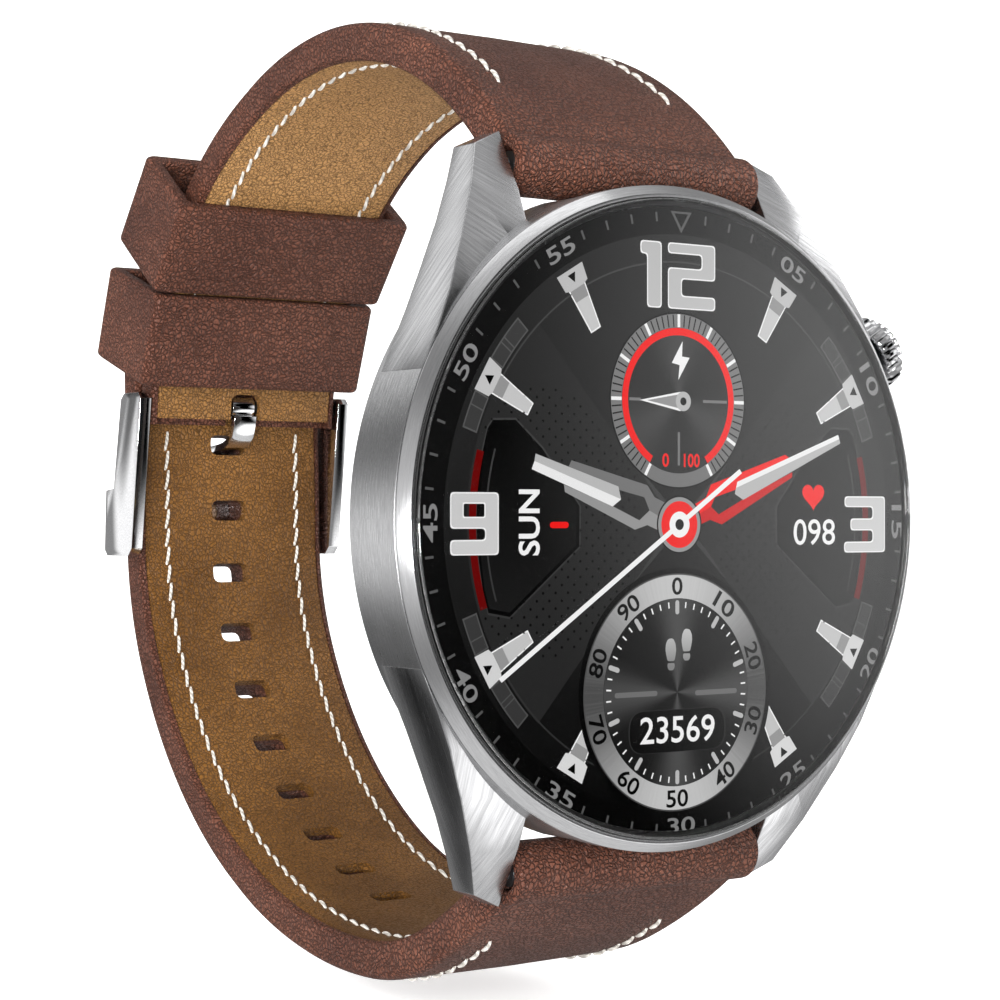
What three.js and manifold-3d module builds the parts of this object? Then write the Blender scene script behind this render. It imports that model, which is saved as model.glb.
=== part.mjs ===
// Round smartwatch on a buckled leather strap.
// Millimetres. +X points to 3 o'clock, +Z to 12 o'clock, and the dial faces -Y.
// The origin is the centre of the flat sensor crystal on the back of the case.

import * as THREE from 'three';
import { ConvexGeometry } from 'three/addons/geometries/ConvexGeometry.js';
import { mergeVertices } from 'three/addons/utils/BufferGeometryUtils.js';
import Module from 'manifold-3d';

// ---------- driving dimensions ----------

// case stack, given as planes along Y (more negative is nearer the viewer of the dial)
const GLASS_FRONT = -10.35;
const BEZEL_FRONT = -10.0;
const CHAMFER_BACK = -9.25;
const CASE_FRONT = -9.05;
const SEAT_FLOOR = -7.75;
const CASE_BACK = -3.7;
const CRYSTAL_FACE = 0;
const WALL_MIDDLE = -6.4;

// case radii
const CASE_R = 23.1;
const SEAT_R = 22.45;
const CAVITY_R = 20.6;
const FLANGE_R = 19.3;
const GLASS_R = 22.15;
const DISPLAY_R = 21.6;
const SCREW_CIRCLE_R = 20.2;

// lugs and spring bars
const LUG_GAP = 22.3;
const LUG_TIP_Z = 26.6;
const BAR_Y = -3.9;
const BAR_Z = 24.4;
const BAR_TUBE_R = 0.9;
const BAR_PIN_R = 0.45;
const BAR_TRAVEL = 1.6;

// strap
const STRAP_HALF_WIDTH = 10.85;
const STRAP_HALF_WIDTH_END = 9.4;
const TAPER_LENGTH = 42;
const STRAP_THICKNESS = 2.9;
const LINING_THICKNESS = 0.8;
const EDGE_WALL = 0.6;
const ROLL_R = 2.2;
const ROLL_BORE_R = 1.2;
const FLEX_GAP = 0.35;
const SKIVE_FROM_S = 66;
const SKIVE_SLOPE = 0.06;

// Each strap half leaves its spring bar at a heading in the YZ plane (degrees from +Y
// towards +Z) and then bends by the given number of degrees over each given length.
const UPPER_HEADING = 52;
const UPPER_BENDS = [[15, -27], [15, -28], [17, -28.5], [20, -39], [9, -18]];
const LOWER_HEADING = -40;
const LOWER_BENDS = [
  [12, 13.5], [9, 23.5], [16, 20.5], [30, 48.5], [11, 24], [10, -4], [9, 6],
];
const UPPER_FLEX_S = 34;
const UPPER_BAR_S = 73.5;
const UPPER_END_S = 75.2;
const LOWER_FLEX_S = 35.7;
const TAIL_END_S = 95;

// adjustment holes in the tail
const HOLE_COUNT = 10;
const HOLE_FIRST_S = 85.6;
const HOLE_PITCH = 5.88;
const HOLE_X = -0.4;
const HOLE_WIDTH = 3.5;
const HOLE_HEIGHT = 1.8;

// keepers: [place along the upper strap, inner face, outer face] measured from its middle
const KEEPER_WALL = 1.25;
const KEEPER_LENGTH = 8;
const FREE_KEEPER = { s: 57.2, inner: -3.05, outer: 5.1, half: 11.45 };
const FIXED_KEEPER = { s: 67, inner: -3.05, outer: 6.9, half: 11.05 };

// buckle
const BUCKLE_INNER_HALF = 9.65;
const BUCKLE_ARM = 1.05;
const BUCKLE_BAR_R = 0.6;
const TONGUE_WIDTH = 2.2;
const TONGUE_THICKNESS = 0.6;

// crown at 2 o'clock and function button at 4 o'clock, both in the middle of the wall
const CROWN_ANGLE = 30;
const BUTTON_ANGLE = -30;
const CROWN_R = 2.9;
const CROWN_RELIEF = 0.3;
const CROWN_TEETH = 30;

const ROUND = 48;
const SMALL_ROUND = 20;

// ---------- materials ----------

function material(color, roughness, metalness = 0) {
  return new THREE.MeshStandardMaterial({ color, roughness, metalness });
}

const brushedSteel = material(0xb9babb, 0.35, 1);
const polishedSteel = material(0xd2d3d5, 0.12, 1);
const springSteel = material(0x9a9ca0, 0.3, 1);
const brownLeather = material(0x573b33, 0.62);
const tanLeather = material(0xa67c4c, 0.55);
const blackPlastic = material(0x141416, 0.45);
const backPlastic = material(0x2a2422, 0.4);
const blackRubber = material(0x101010, 0.8);
const glass = material(0x1b1c1f, 0.05);
const displayBlack = material(0x08080a, 0.2);
const boardGreen = material(0x1d4a2c, 0.5);
const cellFoil = material(0x8d9196, 0.4, 0.6);
const goldContact = material(0xc9a24a, 0.25, 1);

// ---------- solids ----------

const wasm = await Module();
wasm.setup();

// closed three.js geometry to a solid with its faces out
function solid(geometry) {
  const bare = geometry.clone();
  bare.deleteAttribute('normal');
  bare.deleteAttribute('uv');
  const merged = mergeVertices(bare, 1e-4);
  const index = Array.from(merged.index.array);
  const at = merged.attributes.position;
  const kept = [];
  let volume = 0;
  const corner = [new THREE.Vector3(), new THREE.Vector3(), new THREE.Vector3()];
  for (let i = 0; i < index.length; i += 3) {
    const [a, b, c] = [index[i], index[i + 1], index[i + 2]];
    if (a === b || b === c || c === a) continue;
    kept.push([a, b, c]);
    [a, b, c].forEach((v, k) => corner[k].fromBufferAttribute(at, v));
    volume += corner[0].dot(corner[1].clone().cross(corner[2]));
  }
  const triangles = volume < 0 ? kept.map(([a, b, c]) => [a, c, b]) : kept;
  return new wasm.Manifold(new wasm.Mesh({
    numProp: 3,
    vertProperties: new Float32Array(at.array),
    triVerts: new Uint32Array(triangles.flat()),
  }));
}

function geometryOf(body) {
  const mesh = body.getMesh();
  const geometry = new THREE.BufferGeometry();
  geometry.setAttribute('position', new THREE.BufferAttribute(mesh.vertProperties, 3));
  geometry.setIndex(new THREE.BufferAttribute(mesh.triVerts, 1));
  return geometry;
}

function joined(...solids) {
  return solids.reduce((whole, next) => whole.add(next));
}

// ring or disc about the Y axis from [radius, y] points, closed on itself
function turned(profile, segments = ROUND) {
  const points = [...profile, profile[0]].map(([r, y]) => new THREE.Vector2(r, y));
  return solid(new THREE.LatheGeometry(points, segments));
}

function disc(r, yFront, yBack, segments = ROUND) {
  return turned([[0, yFront], [r, yFront], [r, yBack], [0, yBack]], segments);
}

function polygon(points) {
  return new THREE.Shape(points.map(([a, b]) => new THREE.Vector2(a, b)));
}

// outline in the XZ plane, extruded along Y
function plateXZ(outline, yFront, yBack) {
  const geometry = new THREE.ExtrudeGeometry(outline, {
    depth: yBack - yFront, bevelEnabled: false, curveSegments: 8,
  });
  geometry.rotateX(Math.PI / 2);
  geometry.translate(0, yBack, 0);
  return solid(geometry);
}

// outline in the YZ plane, extruded along X and centred on x
function plateYZ(outline, width, x = 0) {
  const geometry = new THREE.ExtrudeGeometry(outline, {
    depth: width, bevelEnabled: false, curveSegments: 8,
  });
  const turn = new THREE.Matrix4().makeBasis(
    new THREE.Vector3(0, 1, 0), new THREE.Vector3(0, 0, 1), new THREE.Vector3(1, 0, 0));
  geometry.applyMatrix4(turn);
  geometry.translate(x - width / 2, 0, 0);
  return solid(geometry);
}

function block(size, centre, matrix) {
  const geometry = new THREE.BoxGeometry(...size);
  geometry.translate(...centre);
  if (matrix) geometry.applyMatrix4(matrix);
  return solid(geometry);
}

// rod along the local X axis of a place, from one distance to another
function rod(r, from, to, matrix, segments = SMALL_ROUND) {
  const geometry = new THREE.CylinderGeometry(r, r, to - from, segments);
  geometry.rotateZ(-Math.PI / 2);
  geometry.translate((from + to) / 2, 0, 0);
  if (matrix) geometry.applyMatrix4(matrix);
  return solid(geometry);
}

// wound wire along the local X axis of a place
function coil(r, wire, from, to, turns, matrix) {
  const points = [];
  const stepsPerTurn = 6;
  for (let i = 0; i <= turns * stepsPerTurn; i++) {
    const a = (i / stepsPerTurn) * Math.PI * 2;
    const x = from + wire + ((to - from - 2 * wire) * i) / (turns * stepsPerTurn);
    points.push(new THREE.Vector3(x, r * Math.cos(a), r * Math.sin(a)));
  }
  const section = polygon([[wire, 0], [0, wire], [-wire, 0], [0, -wire]]);
  const geometry = new THREE.ExtrudeGeometry(section, {
    steps: turns * stepsPerTurn, extrudePath: new THREE.CatmullRomCurve3(points),
  });
  if (matrix) geometry.applyMatrix4(matrix);
  return solid(geometry);
}

function rounded(width, height, r) {
  const [w, h] = [width / 2, height / 2];
  const shape = new THREE.Shape();
  shape.moveTo(-w + r, -h);
  shape.lineTo(w - r, -h);
  shape.absarc(w - r, -h + r, r, -Math.PI / 2, 0);
  shape.lineTo(w, h - r);
  shape.absarc(w - r, h - r, r, 0, Math.PI / 2);
  shape.lineTo(-w + r, h);
  shape.absarc(-w + r, h - r, r, Math.PI / 2, Math.PI);
  shape.lineTo(-w, -h + r);
  shape.absarc(-w + r, -h + r, r, Math.PI, Math.PI * 1.5);
  return shape;
}

const watch = new THREE.Group();
watch.name = 'smartwatch';

function add(name, body, look) {
  const mesh = new THREE.Mesh(geometryOf(body), look);
  mesh.name = name;
  watch.add(mesh);
}

// ---------- case ----------

// radial place at a clock angle: local X points out of the wall, local Y along the case
// axis and local Z along the wall
function wallPlace(degrees) {
  const a = THREE.MathUtils.degToRad(degrees);
  const out = new THREE.Vector3(Math.cos(a), 0, Math.sin(a));
  const back = new THREE.Vector3(0, 1, 0);
  return new THREE.Matrix4()
    .makeBasis(out, back, out.clone().cross(back))
    .setPosition(0, WALL_MIDDLE, 0);
}

const crownPlace = wallPlace(CROWN_ANGLE);
const buttonPlace = wallPlace(BUTTON_ANGLE);

// One lug at the upper right. The outline is tangent to the case; the side view swoops
// back from the bezel to the tip; a bevel runs down the inner front edge.
function lug() {
  const inner = LUG_GAP / 2;
  const outline = plateXZ(polygon([
    [inner, 18], [inner, LUG_TIP_Z], [13.6, 25.5], [17.5, 17.4], [21.0, 9.65], [18.6, 9.65],
  ]), -9.3, -1);
  const side = plateYZ(polygon([
    [-9.05, 9], [-4.2, 9], [-4.2, 14], [-4.0, 17], [-3.6, 20], [-2.8, 23], [-1.9, 25.5],
    [-1.8, 27.3], [-3.6, 27.3], [-4.5, 25.45], [-6.2, 22.35], [-7.75, 18.5], [-8.75, 15.1],
    [-9.05, 12.6],
  ]), 30, 15);
  const bevel = solid(new ConvexGeometry([
    new THREE.Vector3(inner - 0.1, -5.05, 24.9),
    new THREE.Vector3(14.2, -8.2, 17.8),
    new THREE.Vector3(inner - 0.1, -5.6, 17.8),
    new THREE.Vector3(inner - 0.1, -9.6, 24.9),
    new THREE.Vector3(inner - 0.1, -9.6, 17.8),
    new THREE.Vector3(14.2, -9.6, 17.8),
  ]));
  return outline.intersect(side).subtract(bevel);
}

function midCase() {
  const wall = disc(CASE_R, CASE_FRONT, CASE_BACK);
  const oneLug = lug();
  const lugs = joined(
    oneLug,
    oneLug.mirror([1, 0, 0]),
    oneLug.mirror([0, 0, 1]),
    oneLug.mirror([1, 0, 0]).mirror([0, 0, 1]),
  );
  const cavity = turned([
    [0, CASE_FRONT - 1], [SEAT_R, CASE_FRONT - 1], [SEAT_R, SEAT_FLOOR], [CAVITY_R, SEAT_FLOOR],
    [CAVITY_R, -5.4], [FLANGE_R, -5.4], [FLANGE_R, CASE_BACK + 1], [0, CASE_BACK + 1],
  ]);
  const sealGroove = turned([
    [20.95, -4.3], [21.55, -4.3], [21.55, CASE_BACK + 1], [20.95, CASE_BACK + 1],
  ]);
  let body = joined(wall, lugs).subtract(cavity).subtract(sealGroove);
  for (const side of [1, -1]) {
    body = body.subtract(strapRecess(side));
    const barAxis = new THREE.Matrix4().makeTranslation(0, BAR_Y, side * BAR_Z);
    body = body.subtract(rod(0.55, -12.6, 12.6, barAxis, 12));
  }
  for (const place of screwPlaces) {
    body = body.subtract(screwHole(0.62, -5.2, CASE_BACK + 1, place));
  }
  body = body.subtract(rod(1.25, 19, 24, crownPlace));
  // shallow relief in the lug's flank, so the pressed crown clears it
  body = body.subtract(rod(CROWN_R + CROWN_RELIEF, CASE_R + 0.05, CASE_R + 4, crownPlace, ROUND));
  body = body.subtract(rod(0.75, 19, 24, buttonPlace, 16));
  return body.subtract(buttonPocket());
}

// flat cut between two lugs that clears the rolled end of the strap
function strapRecess(side) {
  return block([LUG_GAP, 8, 3], [0, -7.35 + 4, side * (21.95 + 1.5)]);
}

const screwPlaces = [45, 135, 225, 315].map((degrees) => {
  const a = THREE.MathUtils.degToRad(degrees);
  return [SCREW_CIRCLE_R * Math.cos(a), SCREW_CIRCLE_R * Math.sin(a)];
});

function screwHole(r, from, to, [x, z]) {
  const geometry = new THREE.CylinderGeometry(r, r, to - from, 12);
  geometry.translate(x, (from + to) / 2, z);
  return solid(geometry);
}

function buttonPocket() {
  const geometry = new THREE.ExtrudeGeometry(rounded(7.5, 2.7, 1.3), {
    depth: 3, bevelEnabled: false, curveSegments: 5,
  });
  geometry.rotateY(Math.PI / 2);
  geometry.translate(21.6, 0, 0);
  geometry.applyMatrix4(buttonPlace);
  return solid(geometry);
}

add('mid_case', midCase(), brushedSteel);

add('bezel_ring', turned([
  [22.25, BEZEL_FRONT], [22.45, BEZEL_FRONT], [CASE_R, CHAMFER_BACK], [CASE_R, -9.15],
  [22.35, -9.15], [22.35, -7.85], [21.75, -7.85], [21.75, -9.1], [22.25, -9.1],
]), polishedSteel);

add('cover_glass', turned([
  [0, GLASS_FRONT], [GLASS_R - 0.45, GLASS_FRONT], [GLASS_R, GLASS_FRONT + 0.3],
  [GLASS_R, -9.55], [0, -9.55],
]), glass);

add('glass_gasket', turned([
  [21.8, -9.45], [22.1, -9.45], [22.1, -9.2], [21.8, -9.2],
], 40), blackRubber);

add('display_panel', disc(DISPLAY_R, -9.45, -8.65), displayBlack);

function displayFrame() {
  const plate = turned([
    [0, -8.55], [21.55, -8.55], [21.55, -7.9], [20.3, -7.9], [20.3, -7.5], [18.8, -7.5],
    [18.8, -7.95], [0, -7.95],
  ]);
  return plate.subtract(block([7, 3, 1.1], [0, -8.2, -16.5]));
}

add('display_frame', displayFrame(), blackPlastic);

add('display_flex', plateYZ(polygon([
  [-8.4, -16.35], [-7.65, -16.35], [-7.65, -13], [-7.45, -13], [-7.45, -16.65],
  [-8.4, -16.65],
]), 6), goldContact);

// ---------- inside the case ----------

function mainBoard() {
  const board = disc(18.9, -7.3, -6.65, 48);
  const crownNotch = block([6, 3, 4], [19, 0, 0], crownPlace);
  const buttonNotch = block([6, 3, 4], [19, 0, 0], buttonPlace);
  return board.subtract(crownNotch).subtract(buttonNotch);
}

add('main_board', mainBoard(), boardGreen);
add('shield_can', block([10, 1.5, 6], [3, -5.75, 12.2]), springSteel);
add('battery', plateXZ(rounded(22, 16.4, 1.2), -5.9, -2.95), cellFoil);
add('speaker', plateXZ(rounded(13, 5, 1), -6.4, -3.4)
  .translate([0, 0, -12.2]), blackPlastic);

function vibrationMotor() {
  const geometry = new THREE.CylinderGeometry(3.6, 3.6, 2.6, 28);
  geometry.translate(-9, -4.9, 12.1);
  return solid(geometry);
}

add('vibration_motor', vibrationMotor(), springSteel);
add('sensor_board', disc(9, -2.7, -2.2, 36), boardGreen);

// opaque mask with windows for the light emitters and receivers
function sensorShield() {
  let mask = disc(9.9, -1.95, -1.5, 48);
  for (const [x, z] of [[0, 0], [5, 0], [-5, 0], [0, 5], [0, -5]]) {
    const window = new THREE.CylinderGeometry(1.3, 1.3, 3, 16);
    window.translate(x, -1.7, z);
    mask = mask.subtract(solid(window));
  }
  return mask;
}

add('sensor_shield', sensorShield(), blackPlastic);

// ---------- back of the case ----------

function backCover() {
  let cover = turned([
    [22.9, -3.6], [22.9, -3.4], [22.2, -2.6], [19.0, -2.35], [17.8, -1.1], [11.6, -0.75],
    [11.6, -1.3], [10.2, -1.3], [10.2, -2.0], [16.6, -2.0], [17.9, -3.3], [17.9, -3.6],
  ]);
  for (const side of [1, -1]) cover = cover.subtract(strapRecess(side));
  for (const place of screwPlaces) {
    cover = cover.subtract(screwHole(0.75, -5, 0, place));
    cover = cover.subtract(screwHole(1.25, -3.05, 0, place));
  }
  for (const x of chargePinX) {
    cover = cover.subtract(screwHole(1.15, -3, 0, [x, CHARGE_PIN_Z]));
  }
  return cover;
}

const CHARGE_PIN_Z = -14.4;
const chargePinX = [-2.6, 2.6];

add('back_cover', backCover(), backPlastic);

add('sensor_crystal', turned([
  [0, -1.2], [11.45, -1.2], [11.45, -0.6], [10.4, CRYSTAL_FACE], [0, CRYSTAL_FACE],
]), glass);

add('back_seal', turned([
  [21.05, -4.2], [21.45, -4.2], [21.45, -3.75], [21.05, -3.75],
], 40), blackRubber);

screwPlaces.forEach((place, i) => {
  const shank = screwHole(0.5, -5.0, -3.0, place);
  const head = screwHole(1.1, -3.0, -2.5, place);
  const slot = block([0.3, 0.5, 1.5], [place[0], -2.45, place[1]]);
  add(`back_screw_${i + 1}`, shank.add(head).subtract(slot), springSteel);
});

chargePinX.forEach((x, i) => {
  add(`charge_pin_${i + 1}`, screwHole(1.0, -2.5, -0.8, [x, CHARGE_PIN_Z]), goldContact);
});

// ---------- crown ----------

function crownKnob() {
  const outline = new THREE.Shape();
  for (let i = 0; i < CROWN_TEETH * 4; i++) {
    const a = (i / (CROWN_TEETH * 4)) * Math.PI * 2;
    const r = i % 4 < 2 ? CROWN_R : CROWN_R - 0.22;
    const point = [r * Math.cos(a), r * Math.sin(a)];
    if (i === 0) outline.moveTo(...point);
    else outline.lineTo(...point);
  }
  const knurl = new THREE.ExtrudeGeometry(outline, { depth: 2.6, bevelEnabled: false });
  knurl.rotateY(Math.PI / 2);
  knurl.translate(23.8, 0, 0);
  knurl.applyMatrix4(crownPlace);
  const crowned = turned([
    [0, 23.9], [2.5, 23.9], [2.95, 24.15], [2.95, 25.5], [2.6, 25.9], [1.5, 26.2], [0, 26.25],
  ], 32);
  const cup = turned([[0, 23], [1.75, 23], [1.75, 25.4], [0, 25.4]], SMALL_ROUND);
  const stand = new THREE.Matrix4().makeRotationZ(-Math.PI / 2);
  const place = crownPlace.clone().multiply(stand);
  const knob = solid(knurl).intersect(moved(crowned, place));
  return knob.subtract(moved(cup, place));
}

// solid carried to a place
function moved(body, matrix) {
  const geometry = geometryOf(body);
  geometry.applyMatrix4(matrix);
  return solid(geometry);
}

add('crown_knob', crownKnob(), polishedSteel);
add('crown_stem', rod(0.55, 20.2, 25.3, crownPlace), springSteel);
add('crown_seal', rod(0.82, 22.0, 22.5, crownPlace)
  .subtract(rod(0.62, 21, 23, crownPlace)), blackRubber);
add('crown_tube', rod(1.15, 20.9, 24.1, crownPlace)
  .subtract(rod(0.95, 20, 25, crownPlace)), springSteel);
add('crown_spring', coil(1.15, 0.12, 24.2, 24.72, 2, crownPlace), springSteel);
add('crown_pusher', rod(0.9, 19.35, 20.05, crownPlace), blackPlastic);
add('crown_switch', block([1.3, 2, 3], [17.9, 0, 0], crownPlace), blackPlastic);

// ---------- function button ----------

function sideButton() {
  const cap = new THREE.ExtrudeGeometry(rounded(6.9, 2.1, 1.0), {
    depth: 1.0, bevelEnabled: true, bevelSize: 0.12, bevelThickness: 0.12, bevelSegments: 1,
    bevelOffset: -0.12, curveSegments: 5,
  });
  cap.rotateY(Math.PI / 2);
  cap.translate(22.3, 0, 0);
  cap.applyMatrix4(buttonPlace);
  return solid(cap).add(rod(0.5, 19.9, 22.5, buttonPlace, 16));
}

add('side_button', sideButton(), brushedSteel);
add('button_seal', rod(0.7, 20.95, 21.3, buttonPlace, 16)
  .subtract(rod(0.55, 20, 22, buttonPlace, 16)), blackRubber);
add('button_clip', rod(0.9, 19.35, 19.75, buttonPlace, 16), springSteel);
add('button_spring', coil(0.9, 0.1, 21.65, 21.85, 1, buttonPlace), springSteel);
add('button_switch', block([1.3, 2, 3], [18.2, 0, 0], buttonPlace), blackPlastic);

// ---------- strap paths ----------

// Path of constant-curvature stretches. at(s) gives the middle of the strap, its heading
// and the direction that faces away from the wrist.
function strapPath(sign, heading, bends) {
  const stretches = [];
  let [s, y, z, h] = [0, BAR_Y, sign * BAR_Z, THREE.MathUtils.degToRad(heading)];
  for (const [length, degrees] of bends) {
    const curvature = THREE.MathUtils.degToRad(degrees) / length;
    stretches.push({ s, y, z, h, curvature });
    y += (Math.sin(h + curvature * length) - Math.sin(h)) / curvature;
    z -= (Math.cos(h + curvature * length) - Math.cos(h)) / curvature;
    h += curvature * length;
    s += length;
  }
  return function at(place) {
    const on = stretches.filter((stretch) => stretch.s <= place + 1e-9).pop() ?? stretches[0];
    const now = on.h + on.curvature * (place - on.s);
    return {
      y: on.y + (Math.sin(now) - Math.sin(on.h)) / on.curvature,
      z: on.z - (Math.cos(now) - Math.cos(on.h)) / on.curvature,
      out: new THREE.Vector3(0, -sign * Math.sin(now), sign * Math.cos(now)),
    };
  };
}

const upperPath = strapPath(1, UPPER_HEADING, UPPER_BENDS);
const lowerPath = strapPath(-1, LOWER_HEADING, LOWER_BENDS);

// local X across the strap, local Y away from the wrist, local Z along the strap
function strapPlace(path, s) {
  const { y, z, out } = path(s);
  const across = new THREE.Vector3(1, 0, 0);
  return new THREE.Matrix4()
    .makeBasis(across, out, across.clone().cross(out))
    .setPosition(0, y, z);
}

function halfWidth(s) {
  const taper = Math.min(s / TAPER_LENGTH, 1);
  return THREE.MathUtils.lerp(STRAP_HALF_WIDTH, STRAP_HALF_WIDTH_END, taper);
}

// the buckle strap is pared down on its outer face where the tail lies on it
function skive(s) {
  return SKIVE_SLOPE * Math.max(s - SKIVE_FROM_S, 0);
}

// section [across, outward] points for a strap of full width, carried along the path
function strapRun(path, from, to, section, steps, pared = () => 0) {
  const geometry = new THREE.ExtrudeGeometry(polygon(section), {
    depth: to - from, steps, bevelEnabled: false,
  });
  const at = geometry.attributes.position;
  for (let i = 0; i < at.count; i++) {
    const s = from + at.getZ(i);
    const { y, z, out } = path(s);
    const t = at.getY(i) - (at.getY(i) > 0 ? pared(s) : 0);
    const x = at.getX(i) * halfWidth(s) / STRAP_HALF_WIDTH;
    at.setXYZ(i, x, y + out.y * t, z + out.z * t);
  }
  return solid(geometry);
}

// outer leather, wrapped round both edges, with a channel for the lining
function leatherSection() {
  const [w, t] = [STRAP_HALF_WIDTH, STRAP_THICKNESS / 2];
  const lip = w - EDGE_WALL;
  const floor = -t + LINING_THICKNESS + 0.1;
  return [
    [-w, -t + 0.3], [-w, t - 0.7], [-w + 0.7, t], [w - 0.7, t], [w, t - 0.7], [w, -t + 0.3],
    [w - 0.2, -t], [lip, -t], [lip, floor], [-lip, floor], [-lip, -t], [-w + 0.2, -t],
  ];
}

function liningSection() {
  const t = -STRAP_THICKNESS / 2;
  const w = STRAP_HALF_WIDTH - EDGE_WALL - 0.12;
  return [[-w, t], [-w, t + LINING_THICKNESS], [w, t + LINING_THICKNESS], [w, t]];
}

// rolled end round the spring bar, with its bore and a window for the release lever
function rolledEnd(body, path) {
  const place = strapPlace(path, 0);
  const roll = rod(ROLL_R, -STRAP_HALF_WIDTH, STRAP_HALF_WIDTH, place, 24);
  const bore = rod(ROLL_BORE_R, -14, 14, place, 24);
  return body.add(roll).subtract(bore).subtract(leverWindow(path));
}

function leverWindow(path) {
  const reach = 5;
  return block([4.3, reach, 3.4], [7.75, -reach / 2, 0], strapPlace(path, 0));
}

function leatherFront(path, flexAt) {
  const run = strapRun(path, 0, flexAt - FLEX_GAP / 2, leatherSection(), 11);
  return rolledEnd(run, path);
}

function liningFront(path, flexAt) {
  const from = ROLL_R + 0.6;
  return strapRun(path, from, flexAt - FLEX_GAP / 2, liningSection(), 10);
}

add('upper_leather_front', leatherFront(upperPath, UPPER_FLEX_S), brownLeather);
add('upper_lining_front', liningFront(upperPath, UPPER_FLEX_S), tanLeather);
add('lower_leather_front', holed(leatherFront(lowerPath, LOWER_FLEX_S)), brownLeather);
add('lower_lining_front', holed(liningFront(lowerPath, LOWER_FLEX_S)), tanLeather);

// punched adjustment holes
function holed(body) {
  let result = body;
  for (let i = 0; i < HOLE_COUNT; i++) {
    const geometry = new THREE.ExtrudeGeometry(rounded(HOLE_WIDTH, HOLE_HEIGHT, 0.6), {
      depth: 8, bevelEnabled: false, curveSegments: 2,
    });
    geometry.translate(HOLE_X, 0, -4);
    geometry.rotateX(Math.PI / 2);
    geometry.applyMatrix4(strapPlace(lowerPath, HOLE_FIRST_S - i * HOLE_PITCH));
    result = result.subtract(solid(geometry));
  }
  return result;
}

// end of the buckle strap: a bore for the buckle bar and a slot for the tongue
function buckleEnd(body) {
  const place = strapPlace(upperPath, UPPER_BAR_S);
  const bore = rod(0.95, -14, 14, place, 16);
  const slot = block([TONGUE_WIDTH + 0.8, 6, 6], [0, 0, -1.2], place);
  return body.subtract(bore).subtract(slot);
}

const upperRearFrom = UPPER_FLEX_S + FLEX_GAP / 2;
const lowerRearFrom = LOWER_FLEX_S + FLEX_GAP / 2;

add('upper_leather_rear', buckleEnd(
  strapRun(upperPath, upperRearFrom, UPPER_END_S, leatherSection(), 14, skive)), brownLeather);
add('upper_lining_rear', buckleEnd(
  strapRun(upperPath, upperRearFrom, UPPER_END_S - 0.6, liningSection(), 14)), tanLeather);
add('lower_leather_rear', holed(
  strapRun(lowerPath, lowerRearFrom, TAIL_END_S, leatherSection(), 16)), brownLeather);
add('lower_lining_rear', holed(
  strapRun(lowerPath, lowerRearFrom, TAIL_END_S - 0.6, liningSection(), 16)), tanLeather);

// ---------- keepers ----------

function keeper({ s, inner, outer, half }) {
  const depth = outer - inner;
  const shape = rounded(2 * half, depth, 0.5);
  shape.holes.push(rounded(2 * (half - KEEPER_WALL), depth - 2 * KEEPER_WALL, 0.3));
  const geometry = new THREE.ExtrudeGeometry(shape, {
    depth: KEEPER_LENGTH, bevelEnabled: false, curveSegments: 2,
  });
  geometry.translate(0, (inner + outer) / 2, -KEEPER_LENGTH / 2);
  geometry.applyMatrix4(strapPlace(upperPath, s));
  return solid(geometry);
}

add('free_keeper', keeper(FREE_KEEPER), brownLeather);
add('fixed_keeper', keeper(FIXED_KEEPER), brownLeather);

// ---------- buckle ----------

const buckleBar = upperPath(UPPER_BAR_S);

// side view of an arm: an eye round the bar, a straight shank, and a step out to the
// cross bar that lies over the tail
const ARM_SIDE = [
  [-1.8, 0.5], [-1.3, 1.0], [1.4, 1.0], [2.0, 0.5], [3.4, -7.4], [4.9, -7.6],
  [5.15, -12.9], [4.65, -13.4], [0.6, -13.4], [-0.1, -12.7],
];
const CROSS_BAR_SIDE = [
  [4.0, -8.1], [4.4, -7.5], [4.9, -7.6], [5.15, -12.9], [4.65, -13.4], [3.85, -13.4],
];

function besideBar(points) {
  return polygon(points.map(([y, z]) => [buckleBar.y + y, buckleBar.z + z]));
}

function buckleFrame() {
  const middle = BUCKLE_INNER_HALF + BUCKLE_ARM / 2;
  const arms = [middle, -middle].map((x) => plateYZ(besideBar(ARM_SIDE), BUCKLE_ARM, x));
  const cross = plateYZ(besideBar(CROSS_BAR_SIDE), 2 * (BUCKLE_INNER_HALF + BUCKLE_ARM));
  const barAxis = new THREE.Matrix4().makeTranslation(0, buckleBar.y, buckleBar.z);
  const bore = rod(BUCKLE_BAR_R + 0.08, -10.2, 10.2, barAxis, 16);
  return joined(...arms, cross).subtract(bore);
}

add('buckle_frame', buckleFrame(), polishedSteel);
add('buckle_bar', rod(BUCKLE_BAR_R, -10.1, 10.1,
  new THREE.Matrix4().makeTranslation(0, buckleBar.y, buckleBar.z), 16), springSteel);

// flat strip that hooks round the bar, dips through the last hole and lies on the cross bar
const TONGUE_LINE = [
  [-1.2, -0.8], [-0.9, -2.3], [0.0, -3.2], [1.1, -3.55], [2.6, -3.75], [3.9, -3.95],
  [4.8, -4.7], [5.3, -6.2], [5.45, -8.5], [5.6, -10.5], [5.75, -12.9],
];

function buckleTongue() {
  const curve = new THREE.CatmullRomCurve3(
    TONGUE_LINE.map(([y, z]) => new THREE.Vector3(0, buckleBar.y + y, buckleBar.z + z)));
  const strip = ribbon(curve, TONGUE_THICKNESS, 18);
  const barAxis = new THREE.Matrix4().makeTranslation(0, buckleBar.y, buckleBar.z);
  const half = TONGUE_WIDTH / 2;
  const eye = rod(1.2, -half, half, barAxis, 20);
  const hole = rod(0.7, -3, 3, barAxis, 20);
  return plateYZ(strip, TONGUE_WIDTH).add(eye).subtract(hole);
}

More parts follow.
